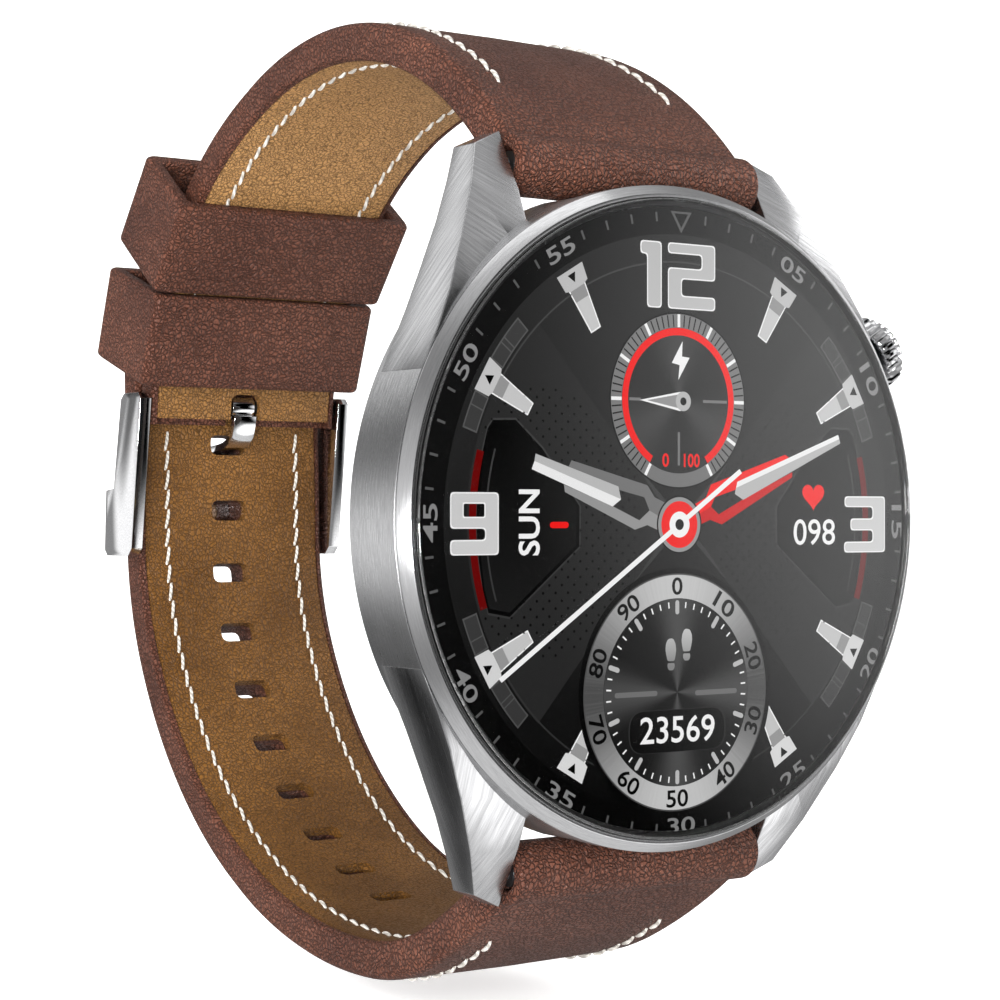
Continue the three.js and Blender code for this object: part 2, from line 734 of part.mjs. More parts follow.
// outline of a strip of even thickness along a curve in the YZ plane
function ribbon(curve, thickness, steps) {
  const left = [];
  const right = [];
  for (let i = 0; i <= steps; i++) {
    const p = curve.getPointAt(i / steps);
    const t = curve.getTangentAt(i / steps);
    left.push([p.y - t.z * thickness / 2, p.z + t.y * thickness / 2]);
    right.unshift([p.y + t.z * thickness / 2, p.z - t.y * thickness / 2]);
  }
  return polygon([...left, ...right]);
}

add('buckle_tongue', buckleTongue(), polishedSteel);

// ---------- quick-release spring bars ----------

function springBar(name, path) {
  const place = strapPlace(path, 0);
  const slot = block([BAR_TRAVEL + 1.4, 2, 1.2], [7.75, -1, 0], place);
  const tube = rod(BAR_TUBE_R, -10.4, 10.4, place)
    .subtract(rod(0.6, -9.4, 11, place, 16))
    .subtract(slot);
  const fixedPin = rod(BAR_PIN_R, -12.3, -10.6, place, 16);
  const lever = block([0.9, 2.9, 0.9], [8.5, -1.45, 0], place);
  const slidingPin = rod(BAR_PIN_R, 7.9, 12.3, place, 16).add(lever);
  add(`${name}_bar_tube`, tube, springSteel);
  add(`${name}_bar_fixed_pin`, fixedPin, springSteel);
  add(`${name}_bar_sliding_pin`, slidingPin, polishedSteel);
  add(`${name}_bar_spring`, coil(0.42, 0.1, 1.2, 6.1, 7, place), springSteel);
}

springBar('upper', upperPath);
springBar('lower', lowerPath);

export default watch;
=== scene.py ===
"""Looks of a round smartwatch on a buckled leather strap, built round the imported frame."""

import math

import bmesh
import bpy
from mathutils import Matrix, Vector
from mathutils.geometry import tessellate_polygon

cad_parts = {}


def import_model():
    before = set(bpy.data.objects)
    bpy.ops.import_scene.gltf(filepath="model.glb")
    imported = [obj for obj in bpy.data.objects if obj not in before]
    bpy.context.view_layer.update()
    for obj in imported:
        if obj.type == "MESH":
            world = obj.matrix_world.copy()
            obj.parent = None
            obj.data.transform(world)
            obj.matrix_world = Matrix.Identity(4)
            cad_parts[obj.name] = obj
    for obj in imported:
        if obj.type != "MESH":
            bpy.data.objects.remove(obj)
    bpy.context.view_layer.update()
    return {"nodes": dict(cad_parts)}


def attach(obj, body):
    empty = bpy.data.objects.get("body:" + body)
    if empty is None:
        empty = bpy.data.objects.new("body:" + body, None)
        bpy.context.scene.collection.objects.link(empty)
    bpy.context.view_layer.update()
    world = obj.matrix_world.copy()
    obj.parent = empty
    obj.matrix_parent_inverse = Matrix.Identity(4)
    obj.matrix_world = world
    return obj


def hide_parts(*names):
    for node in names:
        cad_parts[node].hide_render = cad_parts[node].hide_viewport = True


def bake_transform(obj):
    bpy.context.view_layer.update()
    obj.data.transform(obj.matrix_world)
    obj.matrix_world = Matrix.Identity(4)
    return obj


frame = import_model()
NODES = frame["nodes"]
MM = 0.001
scene = bpy.context.scene


# ---------- small helpers ----------

def srgb(red, green, blue):
    """8-bit display colour to linear light."""
    def channel(c):
        c /= 255
        return c / 12.92 if c <= 0.04045 else ((c + 0.055) / 1.055) ** 2.4
    return channel(red), channel(green), channel(blue)


def link_object(name, mesh):
    obj = bpy.data.objects.new(name, mesh)
    scene.collection.objects.link(obj)
    return obj


def mesh_object(name, points, faces, material, sharp_degrees=35, place=None):
    """Closed mesh from points in millimetres, with smooth shading split at sharp edges."""
    mesh = bpy.data.meshes.new(name)
    mesh.from_pydata([(x * MM, y * MM, z * MM) for x, y, z in points], [], faces)
    if place is not None:
        mesh.transform(place)
    mesh.materials.append(material)
    obj = link_object(name, mesh)
    tidy_normals(mesh, sharp_degrees)
    return obj


def tidy_normals(mesh, sharp_degrees):
    bm = bmesh.new()
    bm.from_mesh(mesh)
    bmesh.ops.remove_doubles(bm, verts=bm.verts, dist=1e-8)
    bmesh.ops.recalc_face_normals(bm, faces=bm.faces)
    split_sharp(bm, sharp_degrees)
    bm.to_mesh(mesh)
    bm.free()


def split_sharp(bm, sharp_degrees):
    limit = math.radians(sharp_degrees)
    for face in bm.faces:
        face.smooth = True
    for edge in bm.edges:
        edge.smooth = len(edge.link_faces) == 2 and edge.calc_face_angle(0) < limit


def apply_modifiers(obj):
    """Swaps an object's mesh for its modified one."""
    bpy.context.view_layer.update()
    graph = bpy.context.evaluated_depsgraph_get()
    mesh = bpy.data.meshes.new_from_object(obj.evaluated_get(graph))
    obj.modifiers.clear()
    obj.data = mesh


def cut(obj, cutters, operation="DIFFERENCE", sharp_degrees=None):
    for cutter in cutters:
        modifier = obj.modifiers.new("cut", "BOOLEAN")
        modifier.operation = operation
        modifier.solver = "EXACT"
        modifier.object = cutter
    apply_modifiers(obj)
    for cutter in cutters:
        bpy.data.objects.remove(cutter)
    if sharp_degrees:
        tidy_normals(obj.data, sharp_degrees)
    return obj


def soften(obj, width, over_degrees=32):
    """Rounds every edge sharper than a limit."""
    bm = bmesh.new()
    bm.from_mesh(obj.data)
    bmesh.ops.remove_doubles(bm, verts=bm.verts, dist=2e-6)
    bmesh.ops.dissolve_limit(bm, angle_limit=math.radians(1), verts=bm.verts,
                             edges=bm.edges)
    limit = math.radians(over_degrees)
    edges = [e for e in bm.edges if len(e.link_faces) == 2 and e.calc_face_angle(0) > limit]
    bmesh.ops.bevel(bm, geom=edges, offset=width * MM, segments=3, profile=0.5,
                    affect="EDGES", clamp_overlap=True)
    bmesh.ops.triangulate(bm, faces=[f for f in bm.faces if len(f.verts) > 4])
    bmesh.ops.recalc_face_normals(bm, faces=bm.faces)
    split_sharp(bm, 35)
    bm.to_mesh(obj.data)
    bm.free()
    return obj


def joined(name, parts):
    """One object from several, in order."""
    bm = bmesh.new()
    for part in parts:
        bm.from_mesh(part.data)
    mesh = bpy.data.meshes.new(name)
    bm.to_mesh(mesh)
    bm.free()
    mesh.materials.append(parts[0].data.materials[0])
    for part in parts:
        bpy.data.objects.remove(part)
    return link_object(name, mesh)


def filleted(profile, radius, closed=False, steps=4):
    """Polyline with its corners rounded."""
    out = []
    count = len(profile)
    for i, (a, b) in enumerate(profile):
        if not closed and i in (0, count - 1):
            out.append((a, b))
            continue
        here = Vector((a, b))
        before = Vector(profile[i - 1]) - here
        after = Vector(profile[(i + 1) % count]) - here
        reach = min(radius, before.length * 0.45, after.length * 0.45)
        first = here + before.normalized() * reach
        last = here + after.normalized() * reach
        for k in range(steps + 1):
            t = k / steps
            point = first * (1 - t) ** 2 + here * (2 * t * (1 - t)) + last * t ** 2
            out.append((point.x, point.y))
    return out


def around(count):
    """Angles that share a full turn equally."""
    return [math.tau * k / count for k in range(count)]


def add_ring(points, ring):
    """Appends a ring of points and gives their numbers."""
    start = len(points)
    points += ring
    return list(range(start, len(points)))


def bridge(first, second):
    """Faces between two rings of point numbers. A ring of one point is a fan's centre."""
    count = max(len(first), len(second))
    turns = [(k, (k + 1) % count) for k in range(count)]
    if len(first) == 1:
        return [(first[0], second[n], second[k]) for k, n in turns]
    if len(second) == 1:
        return [(first[k], first[n], second[0]) for k, n in turns]
    return [(first[k], first[n], second[n], second[k]) for k, n in turns]


def skin(rings):
    """Faces along a row of rings."""
    return [face for pair in zip(rings, rings[1:]) for face in bridge(*pair)]


def lathe(name, profile, material, fillet, segments, place=None):
    """Solid of revolution about the Y axis from [radius, y] points in millimetres."""
    on_axis = profile[0][0] == 0
    points, rings = [], []
    for r, y in filleted(profile, fillet, closed=not on_axis):
        turn = around(segments) if r else [0.0]
        rings.append(add_ring(points, [(r * math.cos(a), y, r * math.sin(a)) for a in turn]))
    if not on_axis:
        rings.append(rings[0])
    return mesh_object(name, points, skin(rings), material, place=place)


def add_plate(points, faces, loops, low, high, carry):
    """Adds a closed plate between two copies of an outline with holes."""
    base = len(points)
    for depth in (low, high):
        for loop in loops:
            points += [carry(a, b, depth) for a, b in loop]
    half = (len(points) - base) // 2
    flat = [[Vector((a, b, 0)) for a, b in loop] for loop in loops]
    for a, b, c in tessellate_polygon(flat):
        faces.append((base + a, base + b, base + c))
        faces.append((base + half + c, base + half + b, base + half + a))
    for loop in loops:
        count = len(loop)
        for k in range(count):
            n = (k + 1) % count
            faces.append((base + k, base + n, base + half + n, base + half + k))
        base += count


def prism(name, loops, low, high, carry, material):
    """Closed solid between two copies of an outline. carry(a, b, depth) places it."""
    points, faces = [], []
    add_plate(points, faces, loops, low, high, carry)
    return mesh_object(name, points, faces, material)


def ride(obj, body, slot, *nodes):
    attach(obj, body)
    if nodes:
        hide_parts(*nodes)
    return obj


# ---------- materials ----------

def add_node(tree, kind, inputs=None, **settings):
    """Shader node with its settings made and its inputs linked or filled in."""
    made = tree.nodes.new("ShaderNode" + kind)
    for key, value in settings.items():
        setattr(made, key, value)
    for key, value in (inputs or {}).items():
        if isinstance(value, bpy.types.NodeSocket):
            tree.links.new(value, made.inputs[key])
        else:
            made.inputs[key].default_value = value
    return made


class Look:
    """A node material with a few short calls for wiring it."""

    def __init__(self, name):
        self.material = bpy.data.materials.new(name)
        self.material.use_nodes = True
        self.tree = self.material.node_tree
        self.bsdf = self.tree.nodes["Principled BSDF"]

    def node(self, kind, inputs=None, **settings):
        return add_node(self.tree, kind, inputs, **settings)

    def place(self):
        return self.node("TexCoord").outputs["Object"]

    def scaled(self, vector, scale, rotation=(0, 0, 0)):
        return self.node("Mapping", {
            "Vector": vector, "Scale": scale, "Rotation": rotation}).outputs["Vector"]

    def noise(self, vector, scale, detail=3.0, roughness=0.55):
        return self.node("TexNoise", {
            "Vector": vector, "Scale": scale, "Detail": detail,
            "Roughness": roughness}).outputs["Fac"]

    def math(self, operation, a, b=0.0):
        return self.node("Math", {0: a, 1: b}, operation=operation).outputs[0]

    def spread(self, value, low, high, to_low, to_high):
        return self.node("MapRange", {
            "Value": value, "From Min": low, "From Max": high,
            "To Min": to_low, "To Max": to_high}).outputs["Result"]

    def mix(self, factor, a, b):
        made = self.node("Mix", {"Factor": factor}, data_type="RGBA")
        for socket, value in (("A", a), ("B", b)):
            entry = [i for i in made.inputs if i.name == socket and i.type == "RGBA"][0]
            if isinstance(value, bpy.types.NodeSocket):
                self.tree.links.new(value, entry)
            else:
                entry.default_value = (*value, 1)
        return [o for o in made.outputs if o.type == "RGBA"][0]

    def bump(self, height, distance, strength=1.0):
        return self.node("Bump", {"Height": height, "Distance": distance,
                                  "Strength": strength}).outputs["Normal"]

    def wire(self, **sockets):
        names = {
            "color": "Base Color", "rough": "Roughness", "metal": "Metallic",
            "normal": "Normal", "anisotropic": "Anisotropic", "tangent": "Tangent",
            "specular": "Specular IOR Level", "sheen": "Sheen Weight",
            "emission": "Emission Color", "strength": "Emission Strength",
            "transmission": "Transmission Weight", "ior": "IOR",
            "turn": "Anisotropic Rotation"}
        for key, value in sockets.items():
            socket = self.bsdf.inputs[names[key]]
            if isinstance(value, bpy.types.NodeSocket):
                self.tree.links.new(value, socket)
            elif isinstance(value, tuple):
                socket.default_value = (*value, 1) if len(value) == 3 else value
            else:
                socket.default_value = value
        return self.material


def leather(name, dark, light, pebble_mm, depth_mm, rough, crease, upward_ramp=None):
    """Grained leather: rounded pebbles between fine creases. The last argument, if given, is
    [low, high, colour]: painted light that turns the colour lighter towards the top, between a
    low and a high height.
    """
    look = Look(name)
    at = look.place()
    warp = look.node("TexNoise", {"Vector": at, "Scale": 900.0, "Detail": 2.0})
    bent = look.node("VectorMath", {0: warp.outputs["Color"], 1: (0.5, 0.5, 0.5)},
                     operation="SUBTRACT").outputs[0]
    push = look.node("VectorMath", {0: bent, "Scale": 0.0009},
                     operation="SCALE").outputs[0]
    moved = look.node("VectorMath", {0: at, 1: push}, operation="ADD").outputs[0]
    cells = look.node("TexVoronoi", {"Vector": moved, "Scale": 1000 / pebble_mm},
                      feature="DISTANCE_TO_EDGE").outputs["Distance"]
    pebbles = look.spread(cells, 0.0, 0.2, 0.0, 1.0)
    fine = look.noise(at, 5200.0, 3.0)
    folds = look.noise(look.scaled(at, (1.0, 2.2, 2.2)), 330.0, 4.0, 0.6)
    tone = look.noise(at, 90.0, 3.0)
    height = look.math("ADD", look.math("MULTIPLY", pebbles, 0.8),
                       look.math("MULTIPLY", fine, 0.35))
    height = look.math("ADD", height, look.math("MULTIPLY", folds, crease))
    body = look.mix(look.spread(tone, 0.35, 0.65, 0.0, 1.0), dark, light)
    # Painted light: the colour turns lighter towards the top, as if lit from above.
    if upward_ramp:
        painted_top_light = look.node("SeparateXYZ", {0: at}).outputs[2]
        painted_top_light = look.spread(painted_top_light, upward_ramp[0] * MM, upward_ramp[1] * MM, 0.0, 1.0)
        body = look.mix(painted_top_light, body, upward_ramp[2])
    # Painted shade: the creases between the pebbles are darkened, as shade falls in them.
    painted_crease_shade = look.mix(look.spread(pebbles, 0.0, 0.7, 0.85, 0.0), body,
                      tuple(c * 0.4 for c in dark))
    return look.wire(
        color=painted_crease_shade, rough=look.spread(height, 0.3, 1.2, rough + 0.14, rough - 0.08),
        normal=look.bump(height, depth_mm * MM, 1.0), specular=0.24)


def steel(name, base, rough, streak=None, depth_mm=0.004, anisotropic=0.0, contrast=0.25):
    """Steel. streak is "ring" round the case, or the direction across straight brushing."""
    look = Look(name)
    at = look.place()
    if streak == "ring":
        parts = look.node("SeparateXYZ", {0: at}).outputs
        angle = look.math("ARCTAN2", parts[2], parts[0])
        lines = look.node("CombineXYZ", {
            0: look.math("MULTIPLY", angle, 14.0), 1: look.math("MULTIPLY", parts[1], 9000.0)})
        grain = look.noise(lines.outputs[0], 1.0, 4.0, 0.75)
    elif streak is not None:
        across = Vector(streak).normalized()
        along = across.cross(Vector((0.3, 0.2, -0.9)))
        ways = [look.node("VectorMath", {0: at, 1: tuple(way)},
                          operation="DOT_PRODUCT").outputs["Value"]
                for way in (across * 8000.0, along * 260.0)]
        lines = look.node("CombineXYZ", {0: ways[0], 1: ways[1]})
        grain = look.noise(lines.outputs[0], 1.0, 4.0, 0.7)
    else:
        grain = look.noise(at, 9000.0, 2.0)
    cloud = look.noise(at, 160.0, 3.0)
    tint = look.mix(look.spread(grain, 0.3, 0.7, 0.0, contrast), base,
                    tuple(c * 0.35 for c in base))
    rougher = look.math("ADD", look.spread(grain, 0.3, 0.7, rough * 0.8, rough * 1.25),
                        look.spread(cloud, 0.4, 0.7, 0.0, rough * 0.15))
    normal = look.bump(grain, depth_mm * MM, 1.0 if streak is not None else 0.15)
    look.wire(color=tint, rough=rougher, metal=1.0, normal=normal)
    if anisotropic:
        look.wire(anisotropic=anisotropic)
        if streak == "ring":
            tangent = look.node("Tangent", direction_type="RADIAL", axis="Y")
            look.wire(tangent=tangent.outputs[0], turn=0.25)
    return look.material


def plastic(name, base, rough, grain_scale=6000.0, depth_mm=0.003):
    """Moulded plastic or rubber: fine grain and slight clouding."""
    look = Look(name)
    at = look.place()
    grain = look.noise(at, grain_scale, 3.0)
    cloud = look.noise(at, 200.0, 2.0)
    color = look.mix(look.spread(cloud, 0.35, 0.65, 0.0, 1.0),
                     tuple(c * 0.8 for c in base), tuple(min(c * 1.25, 1) for c in base))
    return look.wire(color=color, rough=look.spread(grain, 0.3, 0.7, rough * 0.85, rough * 1.15),
                     normal=look.bump(grain, depth_mm * MM, 0.6))


def thread_look():
    """Pale waxed thread with the twist of its strands."""
    look = Look("waxed_thread")
    at = look.place()
    twist = look.node("TexWave", {
        "Vector": look.scaled(at, (1, 1, 1), (0.5, 0.6, 0.4)), "Scale": 900.0,
        "Distortion": 0.6}, wave_type="BANDS").outputs["Fac"]
    fuzz = look.noise(at, 9000.0, 2.0)
    height = look.math("ADD", twist, look.math("MULTIPLY", fuzz, 0.5))
    # Painted shade: the thread is darker in the grooves of its twist and lighter on the ridges.
    color = look.mix(look.spread(height, 0.0, 1.2, 0.0, 1.0), srgb(128, 122, 114),
                     srgb(196, 192, 184))
    return look.wire(color=color, rough=0.6, normal=look.bump(height, 0.00004, 1.0),
                     sheen=0.15)


def clear_glass(name, tint):
    """Glass with the faintest smear."""
    look = Look(name)
    smear = look.noise(look.place(), 120.0, 2.0)
    return look.wire(color=tint, rough=look.spread(smear, 0.3, 0.7, 0.0, 0.012),
                     transmission=1.0, ior=1.5)


def lit(look, emission):
    """Finishes a display colour: black when unlit, free of highlights."""
    return look.wire(color=(0.002, 0.002, 0.002), rough=0.3, specular=0.0, strength=1.0,
                     emission=emission)


def screen(name, low, high=None, span=(-20.0, 20.0)):
    """Lit display colour, running from low to high up the dial, over a span."""
    look = Look(name)
    at = look.place()
    up = look.node("SeparateXYZ", {0: at}).outputs[2]
    weave = look.noise(at, 700.0, 1.0)
    upward_ramp = look.spread(up, span[0] * MM, span[1] * MM, 0.0, 1.0)
    upward_ramp = look.math("ADD", upward_ramp, look.spread(weave, 0.0, 1.0, -0.02, 0.02))
    return lit(look, look.mix(upward_ramp, low, high or low))


BROWN = leather("grained_brown_leather", srgb(76, 44, 33), srgb(94, 57, 43),
                pebble_mm=0.36, depth_mm=0.2, rough=0.48, crease=0.15)
# The lining's colour is painted lighter towards the top, as light falling from above.
TAN = leather("tan_lining_leather", srgb(86, 55, 18), srgb(110, 74, 32),
              pebble_mm=0.34, depth_mm=0.09, rough=0.5, crease=0.15,
              upward_ramp=(4.0, 26.0, srgb(150, 112, 68)))
WALL_STEEL = steel("brushed_wall_steel", (0.66, 0.66, 0.67), 0.27, "ring", 0.012, 0.8, 0.6)
LUG_STEEL = steel("brushed_lug_steel", (0.66, 0.66, 0.67), 0.23, (0.35, 0.9, 0.25), 0.005,
                  0.0, 0.6)
MIRROR_STEEL = steel("polished_steel", (0.78, 0.78, 0.79), 0.07)
BEZEL_STEEL = steel("fine_bezel_steel", (0.70, 0.70, 0.71), 0.17, "ring", 0.003, 0.6, 0.3)
SPRING_STEEL = steel("spring_steel", (0.5, 0.5, 0.52), 0.3, (1.0, 0.2, 0.1), 0.002)
BLACK = plastic("moulded_black_plastic", (0.012, 0.012, 0.013), 0.45)
BACK = plastic("dark_brown_back_plastic", (0.03, 0.023, 0.02), 0.32)
RUBBER = plastic("black_silicone_rubber", (0.008, 0.008, 0.008), 0.8, 3000.0, 0.006)
BOARD = plastic("circuit_board", (0.012, 0.069, 0.025), 0.45, 2500.0, 0.01)
FOIL = steel("foil_cell_wrap", (0.55, 0.56, 0.58), 0.35)
GOLD = steel("gold_plated_contact", (0.83, 0.62, 0.25), 0.2)
THREAD = thread_look()
COVER_GLASS = clear_glass("cover_glass_clear", (1.0, 1.0, 1.0))
CRYSTAL = clear_glass("sensor_crystal_dark", (0.10, 0.10, 0.11))


# ---------- carried-over nodes ----------

def dress(material, *names):
    for name in names:
        for entry in NODES[name].material_slots:
            entry.material = material


dress(BLACK, "display_frame", "speaker", "sensor_shield", "crown_pusher", "crown_switch",
      "button_switch", "display_panel")
dress(RUBBER, "glass_gasket", "back_seal", "crown_seal", "button_seal")
dress(BOARD, "main_board", "sensor_board")
dress(FOIL, "battery")
dress(GOLD, "display_flex", "charge_pin_1", "charge_pin_2")
dress(SPRING_STEEL, "shield_can", "vibration_motor", "crown_stem", "crown_tube",
      "crown_spring", "button_clip", "button_spring", "buckle_bar",
      *("back_screw_%d" % k for k in (1, 2, 3, 4)),
      *(end + "_bar_" + piece for end in ("upper", "lower")
        for piece in ("tube", "fixed_pin", "sliding_pin", "spring")))


# ---------- case ----------

WALL_Y = -6.4                # middle of the wall, where crown and button sit
GAP_HALF, GAP_Z = 11.15, 21.95   # half the gap between the lugs, and where it starts
GAP_FRONT = -7.35
CASE_R = 23.1                # outside of the wall and of the bezel
SEAT_R, BACK_BORE_R = 22.45, 19.3
CAVITY = [(SEAT_R, -7.75), (20.6, -7.75), (20.6, -5.4), (BACK_BORE_R, -5.4)]  # front to back


def rod(name, radius, low, high, segments=32, place=None):
    """Plain round cutter along the Y axis."""
    return lathe(name, [(0, low), (radius, low), (radius, high), (0, high)], BLACK, 0,
                 segments, place)


def box_solid(name, low, high):
    corners = [(x, y, z) for x in (low[0], high[0]) for y in (low[1], high[1])
               for z in (low[2], high[2])]
    faces = [(0, 1, 3, 2), (4, 6, 7, 5), (0, 4, 5, 1), (2, 3, 7, 6), (0, 2, 6, 4), (1, 5, 7, 3)]
    return mesh_object(name, corners, faces, BLACK)


def strap_gaps(back):
    """Boxes that open the wall between each pair of lugs, back to a depth."""
    return [box_solid("gap", (-GAP_HALF, GAP_FRONT, low), (GAP_HALF, back, high))
            for low, high in ((GAP_Z, 26), (-26, -GAP_Z))]


def wall_place(degrees):
    """Carries the Y axis to the direction that points out of the wall at a clock angle."""
    a = math.radians(degrees)
    out = Vector((math.cos(a), 0, math.sin(a)))
    back = Vector((0, 1, 0))
    across = out.cross(back)
    matrix = Matrix((across, out, back)).transposed().to_4x4()
    return Matrix.Translation((0, WALL_Y * MM, 0)) @ matrix


def rounded_slot(width, height):
    r, parts = height / 2, 10
    loop = []
    for side in (1, -1):
        for k in range(parts + 1):
            a = -math.pi / 2 + math.pi * k / parts
            loop.append((side * (width / 2 - r + r * math.cos(a)), side * r * math.sin(a)))
    return loop


CROWN = wall_place(30)
BUTTON = wall_place(-30)


def carried(matrix):
    """Outline [along the wall, along the case axis] at a depth along a wall direction."""
    def place(a, b, depth):
        return tuple(matrix @ (Vector((a, depth, b)) * MM) / MM)
    return place


def wall_cutters():
    """Crown bore, button pocket and button bore through the right side of the wall."""
    return [
        rod("crown_bore", 1.25, 19, 24, 40, CROWN),
        prism("button_pocket", [rounded_slot(7.5, 2.7)], 21.6, 24.6, carried(BUTTON), BLACK),
        rod("button_bore", 0.75, 19, 24, 32, BUTTON)]


def case_wall():
    wall = lathe("case_wall", [
        (CASE_R, -9.05), (CASE_R, -3.7), (BACK_BORE_R, -3.7), *reversed(CAVITY),
        (SEAT_R, -9.05)], WALL_STEEL, 0.05, 288)
    return cut(wall, strap_gaps(0) + wall_cutters(), sharp_degrees=30)


def lug(mirror_x, mirror_z):
    """One lug: its plan cut by its side view, with a bevel along its front inner edge."""
    outline = [(GAP_HALF, 18), (GAP_HALF, 26.6), (13.6, 25.5), (17.5, 17.4), (21.0, 9.65),
               (18.6, 9.65)]
    body = prism("lug", [outline], -9.3, -1, lambda a, b, d: (a, d, b), LUG_STEEL)
    side = prism("lug_side", [[
        (-9.05, 9), (-4.2, 9), (-4.2, 14), (-4.0, 17), (-3.6, 20), (-2.8, 23), (-1.9, 25.5),
        (-1.8, 27.3), (-3.6, 27.3), (-4.5, 25.45), (-6.2, 22.35), (-7.75, 18.5),
        (-8.75, 15.1), (-9.05, 12.6)]], 0, 30, lambda a, b, d: (d, a, b), LUG_STEEL)
    cut(body, [side], "INTERSECT")
    bevel = prism("lug_bevel", [[(11.05, -5.05), (14.2, -8.2), (14.2, -9.7), (11.05, -9.7)]],
                  17.8, 25, lambda a, b, d: (
                      a - 3.2 * max(0, (d - 17.8) / 7.1) * (a > 12), b, d), LUG_STEEL)
    cut(body, [bevel])
    soften(body, 0.09)
    if mirror_x:
        body.data.transform(Matrix.Scale(-1, 4, (1, 0, 0)))
    if mirror_z:
        body.data.transform(Matrix.Scale(-1, 4, (0, 0, 1)))
    if mirror_x != mirror_z:
        body.data.flip_normals()
    return body


ride(case_wall(), "case", "brushed_steel", "mid_case")
lugs = joined("case_lugs", [lug(x, z) for x in (False, True) for z in (False, True)])
cut(lugs, [
    lathe("cavity", [(0, -10.05), (SEAT_R, -10.05), *CAVITY, (BACK_BORE_R, -2.7), (0, -2.7)],
          BLACK, 0, 144),
    rod("crown_relief", 3.2, 23.15, 27, 64, CROWN)] + wall_cutters(), sharp_degrees=35)
ride(lugs, "case", "brushed_steel")

ride(lathe("bezel_polished", [
    (22.2, -10.0), (22.45, -10.0), (CASE_R, -9.25), (CASE_R, -9.15), (22.35, -9.15),
    (22.35, -7.85), (21.75, -7.85), (21.75, -9.1), (22.2, -9.1)], BEZEL_STEEL, 0.035, 288),
    "case", "polished_steel", "bezel_ring")

ride(lathe("cover_glass_disc", [
    (0, -10.35), (12, -10.35), (21.7, -10.35), (22.0, -10.35), (22.12, -10.22),
    (22.12, -9.62), (21.9, -9.62), (12, -9.62), (0, -9.62)],
    COVER_GLASS, 0.06, 256), "case", "cover_glass", "cover_glass")

ride(lathe("glass_edge_liner", [
    (21.62, -9.61), (22.13, -9.61), (22.13, -10.06), (22.19, -10.06), (22.19, -9.5),
    (21.62, -9.5)], RUBBER, 0.01, 224), "case", "display_black")


def back_cover():
    cover = lathe("back_cover_shell", [
        (22.9, -3.6), (22.9, -3.4), (22.2, -2.6), (19.0, -2.35), (17.8, -1.1), (11.6, -0.75),
        (11.6, -1.3), (10.2, -1.3), (10.2, -2.0), (16.6, -2.0), (17.9, -3.3),
        (17.9, -3.6)], BACK, 0.25, 256)
    cutters = strap_gaps(1)
    for degrees in (45, 135, 225, 315):
        a = math.radians(degrees)
        shift = Matrix.Translation((20.2 * MM * math.cos(a), 0, 20.2 * MM * math.sin(a)))
        cutters.append(lathe("screw_hole", [
            (0, -5), (0.75, -5), (0.75, -3.05), (1.25, -3.05), (1.25, 0), (0, 0)], BLACK,
            0, 32, shift))
    for x in (-2.6, 2.6):
        shift = Matrix.Translation((x * MM, 0, -14.4 * MM))
        cutters.append(rod("pin_hole", 1.15, -3, 0, 32, shift))
    return cut(cover, cutters, sharp_degrees=30)


ride(back_cover(), "case", "back_plastic", "back_cover")
ride(lathe("sensor_crystal_dome", [
    (0, -1.2), (11.45, -1.2), (11.45, -0.6), (10.4, 0), (0, 0)], CRYSTAL, 0.12, 192),
    "case", "crystal_glass", "sensor_crystal")


# ---------- crown and button ----------

def crown_cap():
    """Domed knob with a knurled band; a tooth is a raised quarter of each step round."""
    teeth, per = 30, 8
    profile = [(0, 26.25), (1.3, 26.22), (2.1, 26.1), (2.5, 25.9), (2.72, 25.6), (2.9, 25.35),
               (2.9, 24.2), (2.75, 23.98), (2.5, 23.9), (1.75, 23.9), (1.75, 25.4), (0, 25.4)]
    cut_in = [0, 0, 0, 0.05, 0.16, 0.24, 0.24, 0.14, 0, 0, 0, 0]
    groove = (1, 1, 0.6, 0, 0, 0, 0, 0.6)
    points, rings = [], []
    for (r, y), depth in zip(profile, cut_in):
        ring = []
        for k, a in enumerate(around(teeth * per) if r else [0.0]):
            reach = r - depth * groove[k % per]
            ring.append((reach * math.cos(a), y, reach * math.sin(a)))
        rings.append(add_ring(points, ring))
    return mesh_object("crown_cap", points, skin(rings), MIRROR_STEEL, 40, CROWN)


ride(crown_cap(), "crown", "polished_steel", "crown_knob")


def button_cap():
    cap = prism("button_cap", [rounded_slot(6.9, 2.1)], 22.25, 23.4, carried(BUTTON),
                LUG_STEEL)
    soften(cap, 0.18)
    stem = lathe("button_stem", [(0, 19.9), (0.5, 19.9), (0.5, 22.4), (0, 22.4)],
                 LUG_STEEL, 0.03, 32, BUTTON)
    return joined("button_cap", [cap, stem])


ride(button_cap(), "button", "brushed_steel", "side_button")


# ---------- strap ----------

THICK = 2.9
BAR_Y, BAR_Z = -3.9, 24.4            # upper spring bar; the lower one mirrors it
BAR_HALF, TAIL_HALF = 10.85, 9.4     # half the strap's width at the bar, and along its tail
TAPER = 42                           # how far along the strap it narrows
BUCKLE_S = 73.5                      # how far along the upper half the buckle's bar is
HOLES = [85.6 - 5.88 * i for i in range(10)]
HOLE_X = -0.4
LEVER = [(5.6, -1.7), (9.9, -1.7), (9.9, 1.7), (5.6, 1.7)]   # window for a bar's lever


